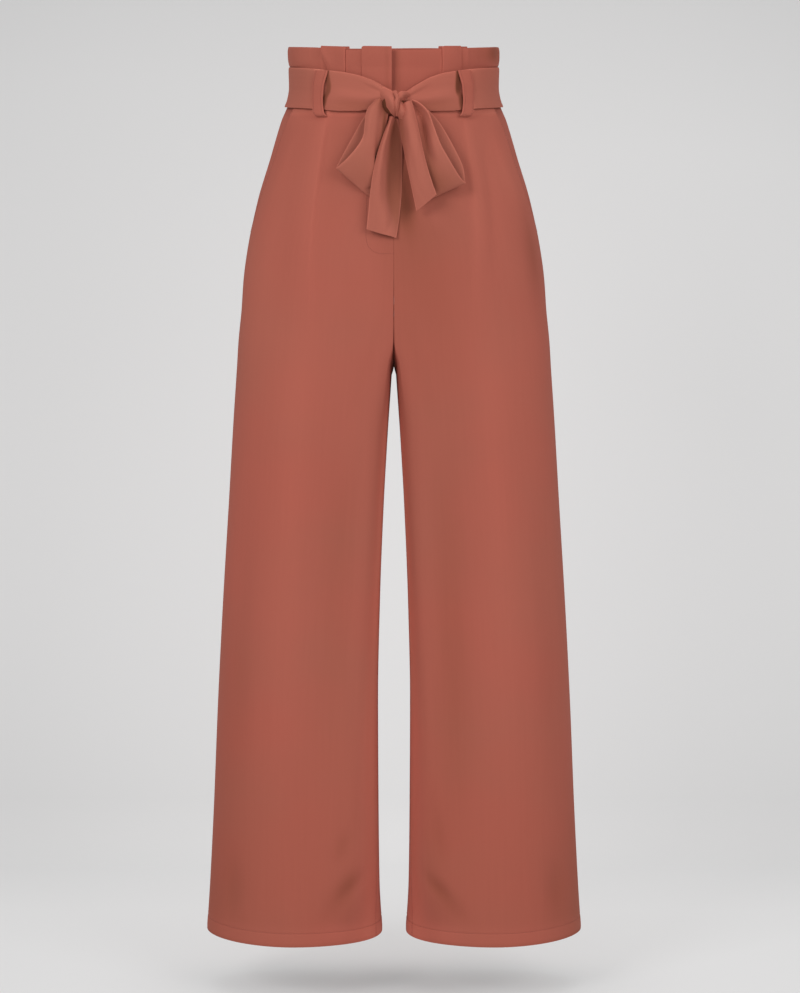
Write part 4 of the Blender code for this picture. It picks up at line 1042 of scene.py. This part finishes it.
def stitch_row(name, line, normal, length, thread, gap=0.28, radius=0.22):
    """A row of stitches along a line of points: each a short bent thread that dips at its two ends.

    The line is read at even lengths; each stitch is a six-sided tube of five rings whose height over
    the cloth follows sin(pi t)^0.5.
    """
    run = np.concatenate([[0.0], np.cumsum(np.linalg.norm(np.diff(line, axis=0), axis=-1))])
    count = max(1, int(round(run[-1] / length)))
    ring, sides = 5, 6
    t = np.linspace(0.0, 1.0, ring)
    at = (np.arange(count)[:, None] + 0.5 * gap + (1.0 - gap) * t) * run[-1] / count
    place = np.stack([np.interp(at, run, line[:, k]) for k in range(3)], axis=-1)
    out = np.stack([np.interp(at, run, normal[:, k]) for k in range(3)], axis=-1)
    out /= np.linalg.norm(out, axis=-1, keepdims=True)
    along = np.gradient(place, axis=1)
    along /= np.linalg.norm(along, axis=-1, keepdims=True)
    beside = np.cross(along, out)
    arch = np.sqrt(np.sin(np.pi * np.clip(t, 0.02, 0.98)))
    centre = place + out * (0.30 * arch - 0.12)[None, :, None]
    turn = 2.0 * np.pi * np.arange(sides) / sides
    size = radius * (0.55 + 0.45 * arch)
    points = centre[:, :, None, :] + size[None, :, None, None] * (
        np.cos(turn)[None, None, :, None] * beside[:, :, None, :]
        + np.sin(turn)[None, None, :, None] * out[:, :, None, :])
    base = (np.arange(count) * ring * sides)[:, None, None]
    row = (np.arange(ring - 1) * sides)[None, :, None]
    side = np.arange(sides)[None, None, :]
    after = (side + 1) % sides
    quads = np.stack(np.broadcast_arrays(base + row + side, base + row + after, base + row + sides + after,
                                         base + row + sides + side), axis=-1).reshape(-1, 4)
    start = np.arange(count)[:, None] * ring * sides
    caps = [np.stack([start[:, 0] + a, start[:, 0] + b, start[:, 0] + c, start[:, 0] + d], 1)
            for a, b, c, d in ((0, 5, 4, 3), (0, 3, 2, 1))]
    end = start[:, 0] + (ring - 1) * sides
    caps += [np.stack([end + a, end + b, end + c, end + d], 1) for a, b, c, d in ((0, 1, 2, 3), (0, 3, 4, 5))]
    item = add_mesh(name, points.reshape(-1, 3), np.concatenate([quads, *caps]))
    item.data.materials.append(thread)
    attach(item, "root")


def panel_line(u, z, side, face="front"):
    """Points and normals of a line drawn on a panel. On the back it stays level at the inner side."""
    u, z = np.broadcast_arrays(np.asarray(u, float), np.asarray(z, float))
    points, normal = on_body(u, z, side, face, panel_relief(u, z, side, face, side_edge(z, face)))
    if face == "back":
        points[..., 2] = z
    return points, normal


def build_stitching(thread):
    """Stitch lines of the hems, pocket mouths, inner seams, fly, waistband and belt loops."""
    length = settings().stitch_length / MM
    u = np.linspace(0.004, 0.996, 240)
    mouth = np.linspace(WAIST_SEAM - 5.0, POCKET_FOOT + 8.0, 160)
    inseam = np.linspace(-560.0, HEM + 4.0, 300)
    for side in ("right", "left"):
        lines = {f"hem_stitches_{face}_{side}": panel_line(u, HEM + settings().hem_depth / MM, side, face)
                 for face in ("front", "back")}
        beside_mouth = through(POCKET_MOUTH, mouth) + 5.0 / QUARTER_ARC
        lines[f"pocket_stitches_{side}"] = panel_line(beside_mouth, mouth, side)
        lines[f"inseam_stitches_{side}"] = panel_line(inseam_line(inseam), inseam, side)
        for name, (points, normal) in lines.items():
            stitch_row(name, points, normal, length, thread)
    course = along_stations(FLY_STITCHES, 160)
    stitch_row("fly_stitches", *panel_line(course[:, 0], course[:, 1], "right"), length, thread)
    z = np.linspace(-6.0, 45.0, 60)
    u = FLY_EDGE - 0.010
    out = LAYER_PITCH + frill_swell(np.full(60, u), z, RIGHT_FRILL)
    points = waist_point(-0.5 * np.pi * (1.0 - u / CORNER), z, out)
    stitch_row("fly_edge_stitches", points, points * (1.0, 1.0, 0.0), length, thread)
    course = along_stations(LOOP_COURSE, 120)
    across = np.linspace(0.1, 0.9, 60)
    for name, x, face in LOOPS:
        for edge, share in (("inner", 0.15), ("outer", 0.85)):
            points = loop_surface(x, face, share, course, LOOP_WALL - 0.1)[:, 0]
            stitch_row(f"loop_stitches_{name}_{edge}", points, points * (1.0, 1.0, 0.0), 2.2, thread)
        tack = loop_surface(x, face, across, LOOP_COURSE[2:3], LOOP_WALL - 0.05)[0]
        stitch_row(f"loop_tack_{name}", tack, tack * (1.0, 1.0, 0.0), 1.6, thread, gap=0.1)


# ---------------------------------------------------------------- materials

def node(tree, kind, inputs=None, **values):
    """Add a node, set its values and its sockets; a socket's value may be another node's output."""
    item = tree.nodes.new(kind)
    for name, value in values.items():
        setattr(item, name, value)
    for name, value in (inputs or {}).items():
        if isinstance(value, bpy.types.NodeSocket):
            tree.links.new(value, item.inputs[name])
        else:
            item.inputs[name].default_value = value
    return item


def maths(tree, operation, first, second):
    """Output of a Math node."""
    return node(tree, "ShaderNodeMath", {0: first, 1: second}, operation=operation).outputs[0]


def cloth_material(name, colour, grain):
    """Matt crepe: fine twisted-thread grain in the cloth's own lengths, soft long streaks along the
    warp, slow colour drift over the garment, and the painted light and shade of the mesh's tone,
    browner where the painted shade is dark and paler and less red where the painted light is strong.
    """
    material = bpy.data.materials.new(name)
    material.use_nodes = True
    tree = material.node_tree
    shader = tree.nodes["Principled BSDF"]
    over = node(tree, "ShaderNodeUVMap", uv_map="cloth").outputs[0]
    place = node(tree, "ShaderNodeTexCoord").outputs["Object"]
    crepe = node(tree, "ShaderNodeTexNoise",
                 {"Vector": over, "Scale": 1500.0, "Detail": 3.0, "Roughness": 0.65})
    thread_map = node(tree, "ShaderNodeMapping", {"Vector": over, "Scale": (1.0, 0.82, 1.0)})
    twill = node(tree, "ShaderNodeTexWave",
                 {"Vector": thread_map.outputs[0], "Scale": 420.0, "Distortion": 3.0, "Detail": 1.0,
                  "Detail Scale": 2.0},
                 wave_type="BANDS", bands_direction="DIAGONAL", wave_profile="SIN")
    streak_map = node(tree, "ShaderNodeMapping", {"Vector": over, "Scale": (260.0, 9.0, 1.0)})
    streak = node(tree, "ShaderNodeTexNoise", {"Vector": streak_map.outputs[0], "Scale": 1.0, "Detail": 3.0})
    drift = node(tree, "ShaderNodeTexNoise",
                 {"Vector": place, "Scale": 7.0, "Detail": 2.0, "Roughness": 0.5})
    tone = node(tree, "ShaderNodeAttribute", attribute_name="tone").outputs["Fac"]
    height = maths(tree, "ADD", maths(tree, "MULTIPLY", crepe.outputs["Fac"], 0.7),
                   maths(tree, "MULTIPLY", twill.outputs["Fac"], 0.3))
    bump = node(tree, "ShaderNodeBump", {"Height": height, "Strength": grain, "Distance": 0.00035})
    brown = tuple(value * scale for value, scale in zip(colour, (0.965, 1.015, 1.01)))
    rosy = tuple(value * scale for value, scale in zip(colour, (1.02, 0.985, 0.99)))
    shade = node(tree, "ShaderNodeMapRange",
                 {"Value": drift.outputs["Fac"], "From Min": 0.32, "From Max": 0.68})
    # Sockets of a Mix node share names between data types, so the colour ones are set by index.
    mixed = node(tree, "ShaderNodeMix", {0: shade.outputs[0], 6: (*brown, 1.0), 7: (*rosy, 1.0)},
                 data_type="RGBA")
    light = maths(tree, "ADD", maths(tree, "MULTIPLY", streak.outputs["Fac"], 0.05),
                  maths(tree, "MULTIPLY", crepe.outputs["Fac"], 0.10))
    light = maths(tree, "ADD", maths(tree, "ADD", light, 0.925), tone)
    # Painted light and shade: the tone attribute lightens or darkens the colour, the strongest painted light
    # turns it paler and less red, and painted shade turns it browner.
    painted_light_pale = maths(tree, "MULTIPLY", maths(tree, "MAXIMUM", maths(tree, "SUBTRACT", tone, 0.2), 0.0), 0.6)
    painted_shade_brown = maths(tree, "MULTIPLY", maths(tree, "MAXIMUM", maths(tree, "MINIMUM", tone, 0.0), -0.25), 0.3)
    green = maths(tree, "ADD", light, painted_light_pale)
    shared = node(tree, "ShaderNodeCombineXYZ",
                  {"X": light, "Y": green, "Z": maths(tree, "ADD", green, painted_shade_brown)})
    toned = node(tree, "ShaderNodeVectorMath", {0: mixed.outputs[2], 1: shared.outputs[0]},
                 operation="MULTIPLY")
    tree.links.new(toned.outputs[0], shader.inputs["Base Color"])
    rough = node(tree, "ShaderNodeMapRange", {"Value": crepe.outputs["Fac"], "To Min": 0.78, "To Max": 0.94})
    tree.links.new(rough.outputs[0], shader.inputs["Roughness"])
    tree.links.new(bump.outputs[0], shader.inputs["Normal"])
    shader.inputs["Specular IOR Level"].default_value = 0.08
    shader.inputs["Sheen Weight"].default_value = 0.04
    shader.inputs["Sheen Roughness"].default_value = 0.45
    shader.inputs["Sheen Tint"].default_value = (0.9, 0.55, 0.45, 1.0)
    return material


def thread_material(colour):
    """Twisted sewing thread, a little glossier than the cloth."""
    material = bpy.data.materials.new("thread")
    material.use_nodes = True
    tree = material.node_tree
    shader = tree.nodes["Principled BSDF"]
    place = node(tree, "ShaderNodeTexCoord").outputs["Object"]
    twist = node(tree, "ShaderNodeTexNoise", {"Vector": place, "Scale": 2200.0, "Detail": 1.0})
    tone = node(tree, "ShaderNodeMapRange", {"Value": twist.outputs["Fac"], "To Min": 0.85, "To Max": 1.15})
    toned = node(tree, "ShaderNodeVectorMath", {0: tuple(colour)}, operation="SCALE")
    tree.links.new(tone.outputs[0], toned.inputs["Scale"])
    tree.links.new(toned.outputs[0], shader.inputs["Base Color"])
    shader.inputs["Roughness"].default_value = 0.6
    return material


def material_named(name):
    """A material of the scene, made on first use."""
    if name in bpy.data.materials:
        return bpy.data.materials[name]
    values = settings()
    if name == "thread":
        return thread_material(values.thread_colour)
    colour = values.belt_colour if name == "belt_cloth" else values.cloth_colour
    return cloth_material(name, tuple(colour), values.grain)


# ---------------------------------------------------------------- stage

FLOOR_Z = -1.083          # the stage is in metres
WALL_Y = 0.694
COVE_RADIUS = 0.08
# The paper's glow is painted light, brightest behind the garment, and below the garment it has a painted
# shadow.
PAPER_TONE = 0.34
PAPER_GLOW = 0.454
GLOW_FALL = 0.117
GLOW_MIDDLE = (0.05, -0.62)    # x and z
GLOW_SIZE = (0.90, 0.68)
FLOOR_GLOW = 0.050
FLOOR_GLOW_FRONT = 0.36        # y at which the floor has all of it
FLOOR_SHADE = 0.190
SHADE_SIZE = (0.20, 0.08)      # x and y


def backdrop_material():
    """Pale paper with painted light: it glows, fading towards the top, the sides and the foot of the wall.

    Its glow is PAPER_GLOW less GLOW_FALL times the square of the distance from GLOW_MIDDLE, counted in
    GLOW_SIZE. It rises by FLOOR_GLOW over the back of the floor. Below the garment a painted shadow makes it
    less by FLOOR_SHADE times e to the power of minus the square of the distance from the middle, counted in
    SHADE_SIZE.
    """
    material = bpy.data.materials.new("studio_paper")
    material.use_nodes = True
    tree = material.node_tree
    place = node(tree, "ShaderNodeSeparateXYZ",
                 {"Vector": node(tree, "ShaderNodeTexCoord").outputs["Object"]}).outputs

    def squared(value, middle, width):
        share = maths(tree, "DIVIDE", maths(tree, "SUBTRACT", value, middle), width)
        return maths(tree, "MULTIPLY", share, share)

    fall = maths(tree, "ADD", squared(place["X"], GLOW_MIDDLE[0], GLOW_SIZE[0]),
                 squared(place["Z"], GLOW_MIDDLE[1], GLOW_SIZE[1]))
    fade = maths(tree, "MULTIPLY", maths(tree, "MINIMUM", fall, 3.0), GLOW_FALL)
    glow = maths(tree, "SUBTRACT", PAPER_GLOW, fade)
    below = maths(tree, "ADD", squared(place["X"], 0.0, SHADE_SIZE[0]),
                  squared(place["Y"], 0.0, SHADE_SIZE[1]))
    shade = maths(tree, "POWER", 2.718, maths(tree, "MULTIPLY", below, -1.0))
    shade = maths(tree, "MULTIPLY", shade, FLOOR_SHADE)
    floor = node(tree, "ShaderNodeMapRange", {"Value": place["Y"], "From Min": WALL_Y,
                                              "From Max": FLOOR_GLOW_FRONT, "To Max": FLOOR_GLOW}).outputs[0]
    glow = maths(tree, "SUBTRACT", maths(tree, "ADD", glow, floor), shade)
    shader = tree.nodes["Principled BSDF"]
    shader.inputs["Base Color"].default_value = (PAPER_TONE, PAPER_TONE, PAPER_TONE, 1.0)
    shader.inputs["Roughness"].default_value = 0.95
    shader.inputs["Specular IOR Level"].default_value = 0.1
    shader.inputs["Emission Color"].default_value = (1.0, 1.0, 1.0, 1.0)
    tree.links.new(glow, shader.inputs["Emission Strength"])
    return material


def build_backdrop():
    """Floor and wall in one sweep: a flat floor, a quarter circle and an upright wall."""
    half_width, front, top = 5.0, -6.0, 3.2
    bend = np.linspace(0.0, 0.5 * np.pi, 24)
    y = np.concatenate([[front, -2.0], WALL_Y - COVE_RADIUS + COVE_RADIUS * np.sin(bend), [WALL_Y, WALL_Y]])
    z = np.concatenate([[0.0, 0.0], COVE_RADIUS * (1.0 - np.cos(bend)), [1.5, top - FLOOR_Z]]) + FLOOR_Z
    x = np.linspace(-half_width, half_width, 3)
    grid = np.stack(np.broadcast_arrays(x[None, :], y[:, None], z[:, None]), axis=-1) / MM
    number = np.arange(grid.shape[0] * grid.shape[1]).reshape(grid.shape[:2])
    faces = np.stack([number[:-1, :-1], number[:-1, 1:], number[1:, 1:], number[1:, :-1]], axis=-1)
    item = add_mesh("studio_backdrop", grid.reshape(-1, 3), faces.reshape(-1, 4))
    item.data.materials.append(backdrop_material())


def build_light(name, place, target, size, power):
    """A square area light at a place, facing a target."""
    data = bpy.data.lights.new(name, "AREA")
    data.shape = "SQUARE"
    data.size = size
    data.energy = power
    item = bpy.data.objects.new(name, data)
    item.location = place
    item.rotation_euler = (Vector(target) - Vector(place)).to_track_quat("-Z", "Y").to_euler()
    bpy.context.scene.collection.objects.link(item)


def build_camera():
    """Camera 4.2 m in front at waist height, looking 7.2 degrees down."""
    data = bpy.data.cameras.new("camera")
    data.sensor_fit = "VERTICAL"
    data.sensor_height = 36.0
    data.sensor_width = 29.0
    data.lens = 128.19
    data.clip_end = 60.0
    data.dof.use_dof = False
    item = bpy.data.objects.new("camera", data)
    item.location = (0.0072, -4.2, 0.047)
    item.rotation_euler = (np.radians(90.0 - 7.238), 0.0, 0.0)
    bpy.context.scene.collection.objects.link(item)
    bpy.context.scene.camera = item


# ---------------------------------------------------------------- operators

class TROUSERS_OT_panels(bpy.types.Operator):
    """Front and back panels of both legs, with their folds, dents and hems"""
    bl_idname = "trousers.panels"
    bl_label = "Panels"

    def execute(self, context):
        for side in ("right", "left"):
            for face in ("front", "back"):
                build_panel(side, face, material_named("trouser_cloth"))
        return {"FINISHED"}


class TROUSERS_OT_pockets(bpy.types.Operator):
    """Cloth behind the slant pocket mouths"""
    bl_idname = "trousers.pockets"
    bl_label = "Pockets"

    def execute(self, context):
        for side in ("right", "left"):
            build_pocket_facing(side, material_named("trouser_cloth"))
        return {"FINISHED"}


class TROUSERS_OT_waistband(bpy.types.Operator):
    """Waistband with its pleated frill, in three pieces"""
    bl_idname = "trousers.waistband"
    bl_label = "Waistband"

    def execute(self, context):
        quarter = 0.5 * np.pi
        gap = 0.5 * SEAM_GAP / SECTIONS[:, 1].min() * CORNER / quarter
        for name, pleats, last, turn_of_u, top, ripples, tones, flat in (
                ("front_right", RIGHT_PLEATS, FLY_EDGE, lambda u: -quarter * (1.0 - u / CORNER),
                 RIGHT_TOP, RIGHT_FRILL, RIGHT_BAND_PAINTED_SHADING, (0.242, 0.069)),
                ("front_left", LEFT_PLEATS, UNDERLAP_EDGE, lambda u: quarter * (1.0 - u / CORNER),
                 LEFT_TOP, LEFT_FRILL, LEFT_BAND_PAINTED_SHADING, (0.236, 0.069)),
                ("back", BACK_PLEATS, 2.0 * CORNER - gap, lambda u: quarter * (1.0 + u / CORNER),
                 BACK_TOP, BACK_FRILL, (), (0.445, 0.069))):
            build_waistband("waistband_" + name, pleats, pleat_course(pleats, last, gap), turn_of_u,
                            top, ripples, tones, material_named("trouser_cloth"))
        return {"FINISHED"}


class TROUSERS_OT_belt(bpy.types.Operator):
    """Sash round the waist"""
    bl_idname = "trousers.belt"
    bl_label = "Belt"

    def execute(self, context):
        build_belt(material_named("belt_cloth"))
        return {"FINISHED"}


class TROUSERS_OT_bow(bpy.types.Operator):
    """Knot, two bow loops and two tails"""
    bl_idname = "trousers.bow"
    bl_label = "Bow"

    def execute(self, context):
        sash = material_named("belt_cloth")
        build_knot(sash)
        for name, stations, rows, flat, held in (
                ("bow_loop_right", BOW_RIGHT, 130, (0.032, 0.200), "folded"),
                ("bow_loop_left", BOW_LEFT, 140, (0.040, 0.235), "folded"),
                ("belt_tail_right", TAIL_RIGHT, 80, (0.032, 0.138), "hung"),
                ("belt_tail_left", TAIL_LEFT, 80, (0.028, 0.120), "hung")):
            wall = strip_wall(stations, rows, 41, STRIP_WALL, tones=STRIP_PAINTED_SHADING.get(name, ()))
            cloth_piece(name, [wall], sash)
        return {"FINISHED"}


class TROUSERS_OT_belt_loops(bpy.types.Operator):
    """Four belt loops"""
    bl_idname = "trousers.belt_loops"
    bl_label = "Belt loops"

    def execute(self, context):
        for name, x, face in LOOPS:
            build_belt_loop("belt_loop_" + name, x, face, material_named("trouser_cloth"))
        return {"FINISHED"}


class TROUSERS_OT_stitching(bpy.types.Operator):
    """Rows of stitches"""
    bl_idname = "trousers.stitching"
    bl_label = "Stitching"

    def execute(self, context):
        build_stitching(material_named("thread"))
        return {"FINISHED"}


class TROUSERS_OT_stage(bpy.types.Operator):
    """Pale studio sweep, soft lights and camera"""
    bl_idname = "trousers.stage"
    bl_label = "Stage"

    def execute(self, context):
        scene = context.scene
        world = bpy.data.worlds.new("studio")
        world.use_nodes = True
        background = world.node_tree.nodes["Background"]
        background.inputs["Color"].default_value = (1.0, 1.0, 1.0, 1.0)
        background.inputs["Strength"].default_value = 0.45
        scene.world = world
        scene.view_settings.view_transform = "Standard"
        build_backdrop()
        power = settings().key_power
        build_light("key_light", (-2.0, -2.9, 1.5), (0.0, 0.0, -0.40), 1.5, power)
        build_light("fill_light", (2.1, -2.9, 1.1), (0.0, 0.0, -0.45), 1.8, 0.8 * power)
        build_light("top_light", (0.0, 0.1, 2.6), (0.0, 0.0, -1.0), 2.4, 0.5 * power)
        build_camera()
        return {"FINISHED"}


class TROUSERS_PT_panel(bpy.types.Panel):
    """Sidebar panel with the settings and one button for each group of pieces"""
    bl_label = "Trousers"
    bl_idname = "TROUSERS_PT_panel"
    bl_space_type = "VIEW_3D"
    bl_region_type = "UI"
    bl_category = "Trousers"

    def draw(self, context):
        for name in TrouserSettings.__annotations__:
            self.layout.prop(context.scene.trouser_settings, name)
        for operator in OPERATORS:
            self.layout.operator(operator.bl_idname)


OPERATORS = (TROUSERS_OT_panels, TROUSERS_OT_pockets, TROUSERS_OT_waistband, TROUSERS_OT_belt,
             TROUSERS_OT_bow, TROUSERS_OT_belt_loops, TROUSERS_OT_stitching, TROUSERS_OT_stage)
CLASSES = (TrouserSettings, *OPERATORS, TROUSERS_PT_panel)


def register():
    """Register the classes and the scene's settings."""
    for item in CLASSES:
        bpy.utils.register_class(item)
    bpy.types.Scene.trouser_settings = bpy.props.PointerProperty(type=TrouserSettings)


def unregister():
    """Undo register()."""
    del bpy.types.Scene.trouser_settings
    for item in reversed(CLASSES):
        bpy.utils.unregister_class(item)


def main():
    register()
    for operator in (bpy.ops.trousers.panels, bpy.ops.trousers.pockets, bpy.ops.trousers.waistband,
                     bpy.ops.trousers.belt, bpy.ops.trousers.bow, bpy.ops.trousers.belt_loops,
                     bpy.ops.trousers.stitching, bpy.ops.trousers.stage):
        operator()


if __name__ == "__main__":
    main()
